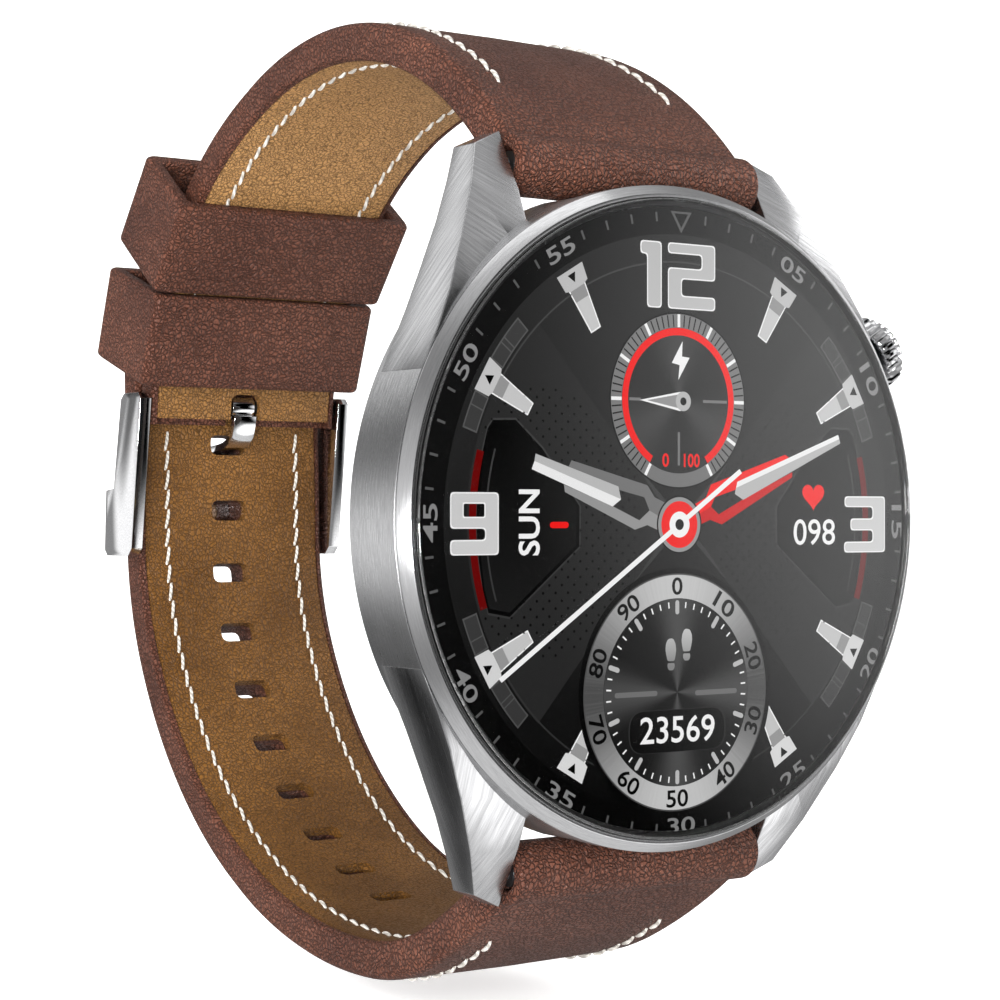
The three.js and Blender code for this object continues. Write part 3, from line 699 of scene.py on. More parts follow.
class Path:
    """Middle line of a strap half in the YZ plane, as stretches of constant bend.

    s runs along it from the spring bar, x across the strap, t outward from the middle."""

    def __init__(self, sign, heading, bends):
        self.sign = sign
        self.stretches = []
        s, y, z, h = 0.0, BAR_Y, sign * BAR_Z, math.radians(heading)
        for length, degrees in bends:
            k = math.radians(degrees) / length
            self.stretches.append((s, y, z, h, k))
            y += (math.sin(h + k * length) - math.sin(h)) / k
            z -= (math.cos(h + k * length) - math.cos(h)) / k
            h += k * length
            s += length

    def at(self, place):
        passed = [t for t in self.stretches if t[0] <= place + 1e-9]
        s, y, z, h, k = passed[-1] if place > 0 else self.stretches[0]
        now = h + k * (place - s)
        return (y + (math.sin(now) - math.sin(h)) / k, z - (math.cos(now) - math.cos(h)) / k,
                -self.sign * math.sin(now), self.sign * math.cos(now))

    def point(self, s, x, t):
        y, z, oy, oz = self.at(s)
        return x, y + oy * t, z + oz * t


UPPER = Path(1, 52, [(15, -27), (15, -28), (17, -28.5), (20, -39), (9, -18)])
LOWER = Path(-1, -40, [(12, 13.5), (9, 23.5), (16, 20.5), (30, 48.5), (11, 24), (10, -4),
                       (9, 6)])


def half_width(s):
    return BAR_HALF + (TAIL_HALF - BAR_HALF) * min(max(s / TAPER, 0), 1)


def pared(path, s):
    """How much the upper half thins towards its buckle."""
    return 0.06 * max(s - 66, 0) if path is UPPER else 0.0


def swept(name, path, stations, section, material):
    """Solid with a section [across, outward] at each station along a strap path."""
    points = []
    rings = [add_ring(points, [path.point(s, x, t) for x, t in section(s)]) for s in stations]
    faces = skin(rings)
    for ring, s in ((rings[0], stations[0]), (rings[-1], stations[-1])):
        loop = [Vector((x, t, 0)) for x, t in section(s)]
        faces += [tuple(ring[i] for i in tri) for tri in tessellate_polygon([loop])]
    return mesh_object(name, points, faces, material, 50)


def leather_section(path):
    """Padded outer leather with rounded top edges and a lip that folds round the lining."""
    def section(s):
        w, t = half_width(s), THICK / 2
        top = t - pared(path, s)
        lip, floor = w - 0.55, -t + 0.9
        corner = 0.62
        arc = [(w - corner + corner * math.sin(a), top - corner + corner * math.cos(a))
               for a in [math.radians(d) for d in (0, 22, 45, 68, 90)]]
        right = [(w * 0.5, top + 0.06)] + arc + [
            (w, -t + 0.45), (w - 0.06, -t + 0.18), (w - 0.25, -t + 0.02), (lip, -t - 0.01),
            (lip, floor)]
        left = [(-x, y) for x, y in reversed(right)]
        return [(0, top + 0.1)] + right + left
    return section


def lining_section(s):
    w, t = half_width(s) - 0.6, -THICK / 2
    return [(w, t + 0.12), (w - 0.05, t + 0.04), (w - 0.25, t - 0.02), (w * 0.5, t - 0.03),
            (0, t - 0.04), (-w * 0.5, t - 0.03), (-w + 0.25, t - 0.02),
            (-w + 0.05, t + 0.04), (-w, t + 0.12), (-w, t + 0.84), (w, t + 0.84)]


def steps(low, high, count):
    return [low + (high - low) * i / (count - 1) for i in range(count)]


def hole_cutters():
    punch = filleted([(-1.75, -0.9), (1.75, -0.9), (1.75, 0.9), (-1.75, 0.9)], 0.65, True)
    return [prism("punch", [punch], -4, 4,
                  lambda a, b, d, s=s: LOWER.point(s + b, a + HOLE_X, d), BROWN)
            for s in HOLES]


def across_at(path, s):
    """Carries the Y axis to the strap's own X axis, at a place along it."""
    y, z, oy, oz = path.at(s)
    along = Vector((0, -oz, oy))
    matrix = Matrix((Vector((0, oy, oz)), Vector((1, 0, 0)), along)).transposed().to_4x4()
    return Matrix.Translation((0, y * MM, z * MM)) @ matrix


def lever_window(path):
    return prism("window", [LEVER], -4, 0, lambda a, b, d: path.point(b, a, d), BROWN)


def rolled_end(path):
    """Leather tube round the spring bar."""
    w = BAR_HALF
    roll = lathe("roll", [(2.2, -w), (2.2, w), (1.2, w), (1.2, -w)], BROWN, 0.35, 72,
                 across_at(path, 0))
    return cut(roll, [lever_window(path)], sharp_degrees=40)


def bore_run(name, path, obj):
    """Clears the spring bar's bore and lever window from the strap's run."""
    bore = rod("bore", 1.25, -14, 14, 48, across_at(path, 0))
    cut(obj, [bore, lever_window(path)], sharp_degrees=40)
    return joined(name, [obj, rolled_end(path)])


def buckle_cutters():
    """Bore for the buckle's bar and slot for its tongue."""
    slot = filleted([(-1.5, -1.3), (1.5, -1.3), (1.5, 4.5), (-1.5, 4.5)], 0.8, True)
    return [rod("bore", 0.95, -14, 14, 40, across_at(UPPER, BUCKLE_S)),
            prism("slot", [slot], -3, 3,
                  lambda a, b, d: UPPER.point(BUCKLE_S + b, a, d), BROWN)]


def blend_upper(obj):
    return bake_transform(obj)


def blend_lower(obj):
    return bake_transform(obj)


def finish_strap(obj, blend, slot, *nodes):
    blend(obj)
    if nodes:
        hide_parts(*nodes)


def strap_half(side, path, end, count, cutters, blend):
    """Outer leather and lining of one half, from its spring bar to a length along it."""
    outer = swept(side + "_leather_run", path, steps(0.0, end, count), leather_section(path),
                  BROWN)
    cut(outer, cutters())
    outer = bore_run(side + "_strap_leather", path, outer)
    finish_strap(outer, blend, "brown_leather", side + "_leather_front",
                 side + "_leather_rear")
    lining = swept(side + "_strap_lining", path, steps(2.8, end - 0.6, count),
                   lining_section, TAN)
    cut(lining, cutters(), sharp_degrees=40)
    finish_strap(lining, blend, "tan_leather", side + "_lining_front",
                 side + "_lining_rear")


strap_half("upper", UPPER, 75.2, 110, buckle_cutters, blend_upper)
strap_half("lower", LOWER, 95.0, 140, hole_cutters, blend_lower)


# ---------- stitching ----------

def stitch_row(points, faces, path, outward, side, low, high):
    """Adds slanting, humped stitches of thread along one edge of a strap half."""
    pitch, radius, sides, parts = 1.72, 0.155, 6, 8
    count = int((high - low) / pitch)
    for i in range(count):
        rings = []
        for k in range(parts + 1):
            u = k / parts
            s = low + pitch * (i + u)
            hump = math.sin(math.pi * u)
            lift = THICK / 2 + (0.1 if outward > 0 else 0.03) - 0.07 + 0.14 * hump ** 0.7
            if outward > 0:
                lift -= pared(path, s)
            x = side * (half_width(s) - 2.75) + 0.16 * (u - 0.5) * 2
            r = radius * (0.8 + 0.2 * hump)
            rings.append(add_ring(points, [
                path.point(s, x + r * math.cos(a), outward * (lift + r * math.sin(a)))
                for a in around(sides)]))
        faces += skin(rings)
        faces.append(tuple(rings[0]))
        faces.append(tuple(reversed(rings[-1])))


def stitching(name, path, rows, blend):
    points, faces = [], []
    for outward, low, high in rows:
        for side in (1, -1):
            stitch_row(points, faces, path, outward, side, low, high)
    obj = mesh_object(name, points, faces, THREAD, 60)
    finish_strap(obj, blend, "brown_leather")


stitching("upper_stitching", UPPER, [(1, 7.6, 51.0), (-1, 7.6, 70.0)], blend_upper)
stitching("lower_stitching", LOWER, [(1, 7.6, 88.0), (-1, 7.6, 88.0)], blend_lower)


# ---------- keepers ----------

def keeper(name, s, inner, outer, half, length, body, node):
    """Folded leather loop with softly creased corners and tucked rims."""
    wall, level = 1.25, (inner + outer) / 2
    corners = [(-half, inner), (half, inner), (half, outer), (-half, outer)]
    inset = [(-half + wall, inner + wall), (half - wall, inner + wall),
             (half - wall, outer - wall), (-half + wall, outer - wall)]
    loops = [filleted(corners, 0.75, True, 5), filleted(inset, 0.4, True, 5)]
    y, z, oy, oz = UPPER.at(s)
    tangent = Vector((0, oz, -oy))
    out = Vector((0, oy, oz))
    middle = Vector((0, y, z))
    layers, tucked = 9, 0.34
    rims = [0.0, 0.05, 0.16, tucked]
    depths = [-length / 2 + r for r in rims] + \
        [-length / 2 + tucked + (length - 2 * tucked) * k / layers
         for k in range(1, layers)] + [length / 2 - r for r in reversed(rims)]
    points, sleeves = [], []
    for loop, sign, skin_wall in ((loops[0], -1, 0), (loops[1], 1, wall)):
        rings = []
        for depth in depths:
            edge = length / 2 - abs(depth)
            tuck = 0.22 * (1 - min(edge / tucked, 1)) ** 2
            bow = 0 if skin_wall else 0.12 * (1 - (2 * depth / length) ** 2)
            ring = []
            for a, b in loop:
                a2 = a * (1 + sign * tuck / (half - skin_wall))
                b2 = level + (b - level) * (1 + sign * tuck / ((outer - inner) / 2 - skin_wall))
                b2 += bow * (1 - (a / half) ** 2) * (1 if b > level else -1)
                ring.append(tuple(middle + out * b2 + tangent * depth + Vector((a2, 0, 0))))
            rings.append(add_ring(points, ring))
        sleeves.append(rings)
    faces = skin(sleeves[0]) + skin(sleeves[1])
    for end in (0, -1):
        faces += bridge(sleeves[0][end], sleeves[1][end])
    obj = mesh_object(name, points, faces, BROWN, 60)
    ride(obj, body, "brown_leather", node)


keeper("loose_keeper", 57.5, -3.05, 5.7, 11.5, 8.6, "free_keeper", "free_keeper")
keeper("sewn_keeper", 67.0, -3.05, 6.9, 11.1, 8.2, "strap_rear", "fixed_keeper")


# ---------- buckle ----------

def rounded_copy(name, node, material, width, body, slot):
    """Copy of a node with its edges rounded."""
    mesh = NODES[node].data.copy()
    mesh.materials.clear()
    mesh.materials.append(material)
    obj = link_object(name, mesh)
    soften(obj, width, 28)
    ride(obj, body, slot, node)


rounded_copy("buckle_frame_polished", "buckle_frame", MIRROR_STEEL, 0.16, "buckle",
             "polished_steel")
rounded_copy("buckle_tongue_polished", "buckle_tongue", MIRROR_STEEL, 0.1, "tongue",
             "polished_steel")


# ---------- display artwork ----------

# centre of the artwork seen through the glass
X_SHIFT, Z_SHIFT = 0.18, -0.27
ART_THICK = 0.0035


def art_depth(level):
    return -9.465 - 0.005 * level


def on_dial(x, z, depth):
    return x + X_SHIFT, depth, z + Z_SHIFT


# outlines are [x, z] points in millimetres, and angles run clockwise from twelve o'clock

def circle(radius, cx=0.0, cz=0.0, count=96):
    return [(cx + radius * math.sin(a), cz + radius * math.cos(a)) for a in around(count)]


def clock(radius, degrees, cx=0.0, cz=0.0):
    a = math.radians(degrees)
    return cx + radius * math.sin(a), cz + radius * math.cos(a)


def arc_band(inner, outer, low, high, cx=0.0, cz=0.0, count=48):
    turn = [low + (high - low) * k / count for k in range(count + 1)]
    return [clock(outer, a, cx, cz) for a in turn] + \
        [clock(inner, a, cx, cz) for a in reversed(turn)]


def bar(x0, z0, x1, z1, width):
    along = Vector((x1 - x0, z1 - z0)).normalized() * (width / 2)
    side = Vector((-along.y, along.x))
    return [(x0 + side.x, z0 + side.y), (x1 + side.x, z1 + side.y),
            (x1 - side.x, z1 - side.y), (x0 - side.x, z0 - side.y)]


def radial_bar(inner, outer, degrees, width, cx=0.0, cz=0.0):
    return bar(*clock(inner, degrees, cx, cz), *clock(outer, degrees, cx, cz), width)


def capsule(x0, z0, x1, z1, width):
    """Bar with round ends."""
    a0 = math.atan2(z1 - z0, x1 - x0)
    r, parts = width / 2, 6
    loop = []
    for cx, cz, turn in ((x1, z1, -math.pi / 2), (x0, z0, math.pi / 2)):
        for k in range(parts + 1):
            a = a0 + turn + math.pi * k / parts
            loop.append((cx + r * math.cos(a), cz + r * math.sin(a)))
    return loop


def placed(points, degrees, dx=0.0, dz=0.0):
    """Turns an outline clockwise by an angle, then moves it."""
    a = math.radians(degrees)
    c, s = math.cos(a), math.sin(a)
    return [(x * c + z * s + dx, -x * s + z * c + dz) for x, z in points]


def art(name, level, material, shapes):
    """Thin closed plates at one depth. A shape is an outline, or a list of loops."""
    points, faces = [], []
    depth = art_depth(level)
    for shape in shapes:
        loops = shape if isinstance(shape[0], list) else [shape]
        add_plate(points, faces, loops, depth, depth - ART_THICK, on_dial)
    obj = mesh_object(name, points, faces, material, 20)
    return ride(obj, "case", "display_black")


def lettering(name, level, material, entries, bold=0.0):
    """Flat lettering. An entry is text, height, width or None, x, z, clockwise degrees."""
    points, faces = [], []
    for text, height, width, x, z, degrees in entries:
        curve = bpy.data.curves.new("text", "FONT")
        curve.body = text
        curve.offset = bold
        curve.extrude = 0.004
        curve.resolution_u = 4
        holder = link_object("text", curve)
        bpy.context.view_layer.update()
        graph = bpy.context.evaluated_depsgraph_get()
        mesh = bpy.data.meshes.new_from_object(holder.evaluated_get(graph))
        xs = [v.co.x for v in mesh.vertices]
        ys = [v.co.y for v in mesh.vertices]
        tall = height / (max(ys) - min(ys))
        wide = width / (max(xs) - min(xs)) if width else tall
        mx, my = (max(xs) + min(xs)) / 2, (max(ys) + min(ys)) / 2
        a = math.radians(degrees)
        base = len(points)
        for vertex in mesh.vertices:
            u, v = (vertex.co.x - mx) * wide, (vertex.co.y - my) * tall
            depth = art_depth(level) - (ART_THICK if vertex.co.z > 0 else 0.0)
            points.append(on_dial(x + u * math.cos(a) + v * math.sin(a),
                                  z - u * math.sin(a) + v * math.cos(a), depth))
        faces += [tuple(base + i for i in face.vertices) for face in mesh.polygons]
        bpy.data.objects.remove(holder)
        bpy.data.curves.remove(curve)
        bpy.data.meshes.remove(mesh)
    obj = mesh_object(name, points, faces, material, 20)
    return ride(obj, "case", "display_black")


def grey(value):
    return srgb(value, value, value)


DIAL_DARK = screen("dial_black", grey(2), grey(20))
DIAL_PLATE = screen("dial_charcoal", grey(3), grey(44))
DOTTED_PLATE = screen("dial_dotted_plate", grey(38), grey(44), (-12, 12))
DOT = screen("dial_dots", grey(4), grey(8))
LINE = screen("dial_fine_line", grey(74), grey(92))
FAINT = screen("dial_faint_line", grey(40), grey(72))
BAND = screen("dial_band", grey(52), grey(64))
INSET = screen("dial_inset", grey(24), grey(6), (-6, 6))
SILVER = screen("dial_silver", grey(222), grey(190))
EDGE_WHITE = screen("dial_white", grey(245), grey(250))
BATON = screen("dial_baton", grey(196), grey(204))
TICK = screen("dial_tick", grey(84), grey(92))
RED = screen("dial_red", srgb(240, 16, 16), srgb(250, 22, 20))
DEEP_RED = screen("dial_deep_red", srgb(205, 12, 16), srgb(205, 12, 16))
DARK_RED = screen("dial_dark_red", srgb(96, 6, 6), srgb(110, 8, 8))
PALE = screen("dial_pale_grey", grey(190), grey(186))
MID = screen("dial_mid_grey", grey(112), grey(126), (-4, 12))
ARM = screen("dial_arm_grey", grey(150), grey(150))


def ring_sheen(name, low, high, centre, folds, sharp):
    """Brushed dial metal: bright lobes that fan round a centre."""
    look = Look(name)
    at = look.node("VectorMath", {
        0: look.place(), 1: ((centre[0] + X_SHIFT) * MM, 0, (centre[1] + Z_SHIFT) * MM)},
        operation="SUBTRACT").outputs[0]
    parts = look.node("SeparateXYZ", {0: at}).outputs
    angle = look.math("ARCTAN2", parts[0], parts[2])
    wave = look.math("COSINE", look.math("MULTIPLY", angle, folds))
    lobe = look.math("POWER", look.spread(wave, -1, 1, 0.0, 1.0), sharp)
    fine = look.node("TexNoise", {
        "Vector": look.node("CombineXYZ", {0: look.math("MULTIPLY", angle, 40.0)}).outputs[0],
        "Scale": 1.0, "Detail": 3.0}).outputs["Fac"]
    lobe = look.math("ADD", lobe, look.spread(fine, 0.3, 0.7, -0.05, 0.05))
    return lit(look, look.mix(lobe, low, high))


TOP_DIAL = (-0.25, 8.44)
LOW_DIAL = (-0.39, -11.75)
RING_SILVER = ring_sheen("subdial_ring", grey(78), grey(200), LOW_DIAL, 2.0, 0.9)
CONE_BLACK = ring_sheen("subdial_cone", grey(20), grey(74), LOW_DIAL, 4.0, 3.0)
TOP_CONE = ring_sheen("top_subdial_cone", grey(40), grey(66), TOP_DIAL, 3.0, 2.0)

art("dial_background", 0, DIAL_DARK, [circle(21.58, -X_SHIFT, -Z_SHIFT, 160)])
art("dial_plate", 1, DIAL_PLATE, [circle(19.95, 0, 0, 144)])


SLOPE = 0.93       # of the lines through the hub that divide the dial


def sector(side):
    """Wedge between two lines through the hub, out to the chapter ring."""
    half = math.degrees(math.atan2(1, SLOPE))
    rim = [clock(18.15, 90 - half + 2 * half * k / 24) for k in range(25)]
    return [(side * x, z) for x, z in [(0.6, 0.0)] + rim]


art("dial_sector_borders", 2, FAINT, [
    bar(side, up * SLOPE, side * 13.25, up * 13.25 * SLOPE, 0.34)
    for side in (1, -1) for up in (1, -1)])
art("dial_sectors", 3, DOTTED_PLATE, [sector(1), sector(-1)])


def sector_dots():
    pitch, out = 1.04, []
    for i in range(-17, 18):
        for j in range(-17, 18):
            x, z = (i + 0.5 * (j % 2)) * pitch, j * pitch * 0.5
            reach = math.hypot(x, z)
            if 4.0 < reach < 17.8 and abs(z) < SLOPE * abs(x) - 0.35:
                out.append(circle(0.1, x, z, 6))
    return out


art("dial_sector_dots", 4, DOT, sector_dots())
art("dial_faint_rings", 4, FAINT, [
    arc_band(17.98, 18.1, -62, 62), arc_band(17.98, 18.1, 118, 242)])

# chapter ring: ticks, minute numerals and the marker at the top
art("minute_ticks", 2, TICK, [
    radial_bar(20.85, 21.5, 6 * k, 0.17) for k in range(60) if k % 5])
art("top_marker", 2, TICK, [[
    [(-0.95, 21.55), (0.95, 21.55), (0, 20.05)], [(-0.62, 21.4), (0.62, 21.4), (0, 20.42)]]])


def dial_text(entries, radius, height, cx=0.0, cz=0.0):
    """Lettering round a centre from [text, width, degrees], readable on the lower half."""
    out = []
    for text, width, degrees in entries:
        turn = degrees if degrees <= 90 or degrees >= 270 else degrees + 180
        out.append((text, height, width, *clock(radius, degrees, cx, cz), turn))
    return out


NUMERAL_GREY = screen("dial_numeral_grey", grey(128), grey(140))
lettering("minute_numerals", 2, NUMERAL_GREY, dial_text([
    ("%02d" % (5 * k), 2.5, 30 * k) for k in range(1, 12)], 20.98, 1.12), 0.012)


def band_segments(inner, outer, trim):
    out = []
    for low, high in ((46, 56.5), (63.5, 71.4)):
        for flip in (0, 180):
            for side in (1, -1):
                a, b = side * (low + trim) + flip, side * (high - trim) + flip
                out.append(arc_band(inner, outer, min(a, b), max(a, b), count=8))
    return out


art("dial_band_edges", 2, LINE, band_segments(18.3, 19.5, 0))
art("dial_bands", 3, BAND, band_segments(18.4, 19.4, 0.35))
art("dial_band_marks", 4, LINE, [
    radial_bar(18.4, 19.4, side * d + flip, 0.09)
    for d in (51.2, 52.4, 66.5) for side in (1, -1) for flip in (0, 180)])

# dark insets and the curved red bars at both sides
left_inset = [(-16.4, 5.9), (-16.0, 6.45), (-14.25, 6.5), (-12.2, 4.7), (-9.2, 1.1),
              (-9.2, -1.5), (-14.7, -5.9), (-16.35, -5.6), (-16.75, -4.2), (-17.05, -2),
              (-17.12, 0), (-17.05, 2), (-16.85, 4)]


def grown(loop, amount):
    """Outline pushed out from its middle."""
    cx = sum(p[0] for p in loop) / len(loop)
    cz = sum(p[1] for p in loop) / len(loop)
    out = []
    for x, z in loop:
        d = math.hypot(x - cx, z - cz)
        out.append((x + (x - cx) / d * amount, z + (z - cz) / d * amount))
    return out


def both_sides(loop):
    return [loop, [(-x, z) for x, z in loop]]


art("inset_borders", 4, FAINT, both_sides(grown(left_inset, 0.42)))
art("inset_gaps", 5, DOT, both_sides(grown(left_inset, 0.28)))
art("insets", 6, INSET, both_sides(left_inset))
art("inset_arcs", 7, FAINT, [
    arc_band(16.55, 16.68, 252, 287), arc_band(16.55, 16.68, 73, 108)])
art("red_side_bars", 7, DARK_RED, [
    arc_band(17.42, 17.98, 251.5, 285.5), arc_band(17.42, 17.98, 74.5, 108.5)])

# hour indices
INDEX_ANGLES = (30, 60, 120, 150, 210, 240, 300, 330)


def at_indices(outline):
    return [placed(outline, a) for a in INDEX_ANGLES]


art("index_edges", 4, EDGE_WHITE, at_indices([
    (-0.78, 18.3), (0.78, 18.3), (0.48, 15.0), (-0.48, 15.0)]))
art("index_batons", 5, BATON, at_indices([
    (-0.68, 18.25), (0.68, 18.25), (0.39, 15.1), (-0.39, 15.1)]))
art("index_shadows", 6, ARM, at_indices([
    (-0.68, 18.25), (0.68, 18.25), (0.6, 17.35), (-0.6, 17.35)]))
art("index_heads", 7, SILVER, at_indices([
    (-1.22, 19.55), (1.22, 19.55), (1.06, 18.35), (0.62, 18.2), (-0.62, 18.2),
    (-1.06, 18.35)]))


def index_marks():
    """Small triangle on each index head."""
    out = []
    for a in INDEX_ANGLES:
        tri = [(-0.36, 0.3), (0.36, 0.3), (0, -0.34)] if a in (30, 60, 330) else \
            [(-0.36, -0.3), (0.36, -0.3), (0, 0.34)]
        x, z = clock(18.95, a)
        turn = a if a in (30, 60, 330, 300) else a + 180
        out.append(placed(tri, turn, x, z))
    return out


art("index_marks", 8, DOT, index_marks())

# large numerals
TWELVE_ONE = [(-3.67, 19.36), (-1.78, 19.36), (-1.78, 14.78), (-3.08, 14.78), (-3.08, 18.44),
              (-3.67, 18.44)]
TWELVE_TWO = [(-1.22, 14.78), (3.08, 14.78), (3.08, 15.72), (0.03, 15.72), (0.03, 16.86),
              (3.08, 16.86), (3.08, 19.36), (-1.22, 19.36), (-1.22, 18.6), (1.83, 18.6),
              (1.83, 17.64), (-1.22, 17.64)]
NINE = [(-19.46, 2.0), (-15.6, 2.0), (-15.6, -2.1), (-19.46, -2.1), (-19.46, -1.1),
        (-16.69, -1.1), (-16.69, -0.375), (-19.46, -0.375)]
NINE_HOLE = [(-18.4, 1.25), (-16.75, 1.25), (-16.75, 0.4), (-18.4, 0.4)]
THREE = [(15.58, 1.88), (19.7, 1.88), (19.7, -2.25), (15.53, -2.25), (15.53, -1.45),
         (18.42, -1.45), (18.42, -0.63), (16.17, -0.63), (16.17, 0.25), (18.42, 0.25),
         (18.42, 1.08), (15.58, 1.08)]


def shrunk(loop, amount):
    """Outline pulled in square to its own sides."""
    area = sum(a[0] * b[1] - b[0] * a[1] for a, b in zip(loop, loop[1:] + loop[:1]))
    sign = 1 if area > 0 else -1
    out = []
    for i, (x, z) in enumerate(loop):
        px, pz = loop[i - 1]
        nx, nz = loop[(i + 1) % len(loop)]
        first = Vector((x - px, z - pz)).normalized()
        last = Vector((nx - x, nz - z)).normalized()
        n1 = Vector((-first.y, first.x)) * sign
        n2 = Vector((-last.y, last.x)) * sign
        push = (n1 + n2) * (amount / max(1 + n1.dot(n2), 0.3))
        out.append((x + push.x, z + push.y))
    return out


def numeral(outer, hole, inset=0.0):
    """Large numeral with softened corners, drawn in from its outline for the face."""
    loops = [filleted(shrunk(outer, inset) if inset else outer, 0.28, True, 3)]
    if hole:
        loops.append(filleted(shrunk(hole, -inset) if inset else hole, 0.12, True, 2))
    return loops


NUMERALS = ((TWELVE_ONE, None), (TWELVE_TWO, None), (NINE, NINE_HOLE), (THREE, None))
art("numeral_edges", 8, EDGE_WHITE, [numeral(*loops) for loops in NUMERALS])
art("numeral_faces", 9, SILVER, [numeral(*loops, 0.09) for loops in NUMERALS])

# top sub-dial: charge gauge
tx, tz = TOP_DIAL
art("gauge_well", 8, DOT, [circle(6.12, tx, tz)])
art("gauge_ring", 9, MID, [[circle(6.0, tx, tz), circle(5.05, tx, tz)]])
art("gauge_face", 10, TOP_CONE, [circle(5.03, tx, tz)])
art("gauge_ticks", 11, DOT, [
    radial_bar(5.1, 5.95, -150 + 5 * k, 0.1, tx, tz) for k in range(61)])
art("gauge_major_ticks", 12, EDGE_WHITE, [
    radial_bar(5.08, 5.98, -150 + 30 * k, 0.24, tx, tz) for k in range(11)])
art("gauge_red_arc", 12, RED, [arc_band(4.52, 5.03, -149, 149, tx, tz, 90)])
art("gauge_lines", 11, MID, [
    bar(tx + 2.2, tz, tx + 4.4, tz, 0.2), bar(tx - 4.4, tz, tx - 3.4, tz, 0.2),
    bar(tx, tz - 2.2, tx, tz - 4.5, 0.2)])
art("gauge_bolt", 12, EDGE_WHITE, [[
    (0.08, 12.56), (0.03, 11.5), (0.72, 11.44), (-0.3, 9.86), (-0.19, 10.9),
    (-0.89, 11.03)]])
lettering("gauge_numbers", 12, RED, [("0", 0.95, 0.6, -1.44, 4.3, 0),
                                     ("100", 0.95, 1.45, 0.92, 4.3, 0)], 0.02)
art("gauge_hand_edge", 13, EDGE_WHITE, [[(-3.75, 8.39), (-0.1, 9.05), (-0.1, 7.7)]])
art("gauge_hand", 14, ARM, [[(-3.1, 8.39), (-0.35, 8.85), (-0.35, 7.92)]])
art("gauge_hub", 15, PALE, [circle(0.68, 0.14, 8.39, 40)])
art("gauge_hub_dot", 16, DOT, [circle(0.28, 0.14, 8.39, 24)])

# bottom sub-dial: step counter
lx, lz = LOW_DIAL
art("counter_surround", 8, DOT, [circle(8.62, lx, lz, 120)])
art("counter_ring", 9, RING_SILVER, [[circle(8.2, lx, lz, 120), circle(6.5, lx, lz, 120)]])
art("counter_ring_rim", 10, LINE, [[circle(8.22, lx, lz, 120), circle(8.12, lx, lz, 120)]])
art("counter_face", 10, CONE_BLACK, [circle(6.48, lx, lz, 120)])
art("counter_ticks", 11, EDGE_WHITE, [
    radial_bar(5.85, 6.27, 7.2 * k, 0.11, lx, lz) for k in range(50) if k % 5])
art("counter_major_ticks", 11, PALE, [
    capsule(*clock(5.55, 36 * k, lx, lz), *clock(6.2, 36 * k, lx, lz), 0.34)
    for k in range(10)])
art("counter_bars", 11, MID, [
    capsule(-5.75, -11.75, -2.35, -11.75, 0.36), capsule(1.4, -11.87, 4.9, -11.87, 0.36)])


lettering("counter_numerals", 11, DOT, dial_text([
    (str(10 * k), 1.95 if k else 0.95, 36 * k) for k in range(10)], 7.34, 1.22, lx, lz), 0.015)


def foot(x, top, lean):
    """Sole and heel of a footprint; lean is the side the big toe is on."""
    sole = [(0, 0.0), (0.3, -0.08), (0.47, -0.4), (0.5, -0.8), (0.42, -1.2), (0.3, -1.58),
            (-0.3, -1.58), (-0.4, -1.2), (-0.46, -0.8), (-0.38, -0.35), (-0.2, -0.05)]
    heel = [(-0.31, -1.72), (0.31, -1.72), (0.33, -2.0), (0.18, -2.22), (-0.18, -2.22),
            (-0.33, -2.0)]
    return [filleted([(x + lean * a, top + b) for a, b in part], 0.1, True, 2)
            for part in (sole, heel)]


art("counter_feet", 11, screen("dial_feet", grey(130), grey(206), (-10.2, -7.4)),
    foot(-0.95, -8.0, -1) + foot(0.45, -7.37, 1))
pill_box = [(-4.62, -12.95), (3.92, -12.95), (3.92, -15.83), (-4.62, -15.83)]
art("counter_pill_edge", 11, FAINT, [filleted(grown(pill_box, 0.1), 1.4, True, 8)])
art("counter_pill", 12, DOT, [filleted(pill_box, 1.4, True, 8)])
lettering("counter_value", 13, EDGE_WHITE, [("23569", 1.87, 6.7, -0.35, -14.31, 0.6)], 0.008)

# small complications
lettering("weekday", 8, EDGE_WHITE, [("SUN", 1.75, 4.37, -13.12, 0.02, -90)], 0.02)
art("weekday_dash", 8, RED, [capsule(-11.2, -0.15, -10.05, -0.15, 0.42)])
lettering("pulse_value", 8, EDGE_WHITE, [("098", 1.87, 4.09, 12.57, -0.73, 0)], 0.005)


def heart(cx, cz, width, height):
    out = []
    for t in around(40):
        x = 16 * math.sin(t) ** 3
        z = 13 * math.cos(t) - 5 * math.cos(2 * t) - 2 * math.cos(3 * t) - math.cos(4 * t)
        out.append((cx + x * width / 32, cz + (z + 2.5) * height / 29))
    return out


art("pulse_heart", 8, RED, [heart(12.46, 1.75, 2.17, 1.9)])

# hands, lowest first
HUB = (-0.25, -0.15)
art("hour_frame_upper", 18, MID, [[
    (-9.64, 4.18), (-3.09, 2.55), (-2.45, 1.73), (-1.45, 1.33), (-1.9, 0.35), (-2.9, 0.82),
    (-3.36, 1.73), (-5.5, 2.2), (-9.9, 3.73)]])
art("hour_frame_lower", 18, ARM, [[
    (-2.9, 0.82), (-1.9, 0.35), (-2.1, -0.55), (-3.09, -0.18), (-4.18, -0.49),
    (-10.2, 2.05), (-10.27, 2.55), (-6.1, 1.1), (-3.8, 0.15)]])
art("hour_blade_upper", 19, PALE, [[
    (-12.64, 4.58), (-5.64, 2.45), (-5.4, 1.58), (-12.73, 4.09)]])
art("hour_blade_lower", 19, screen("dial_blade_white", grey(240), grey(240)), [[
    (-12.73, 4.09), (-5.4, 1.58), (-6.13, 1.09), (-12.96, 3.55)]])
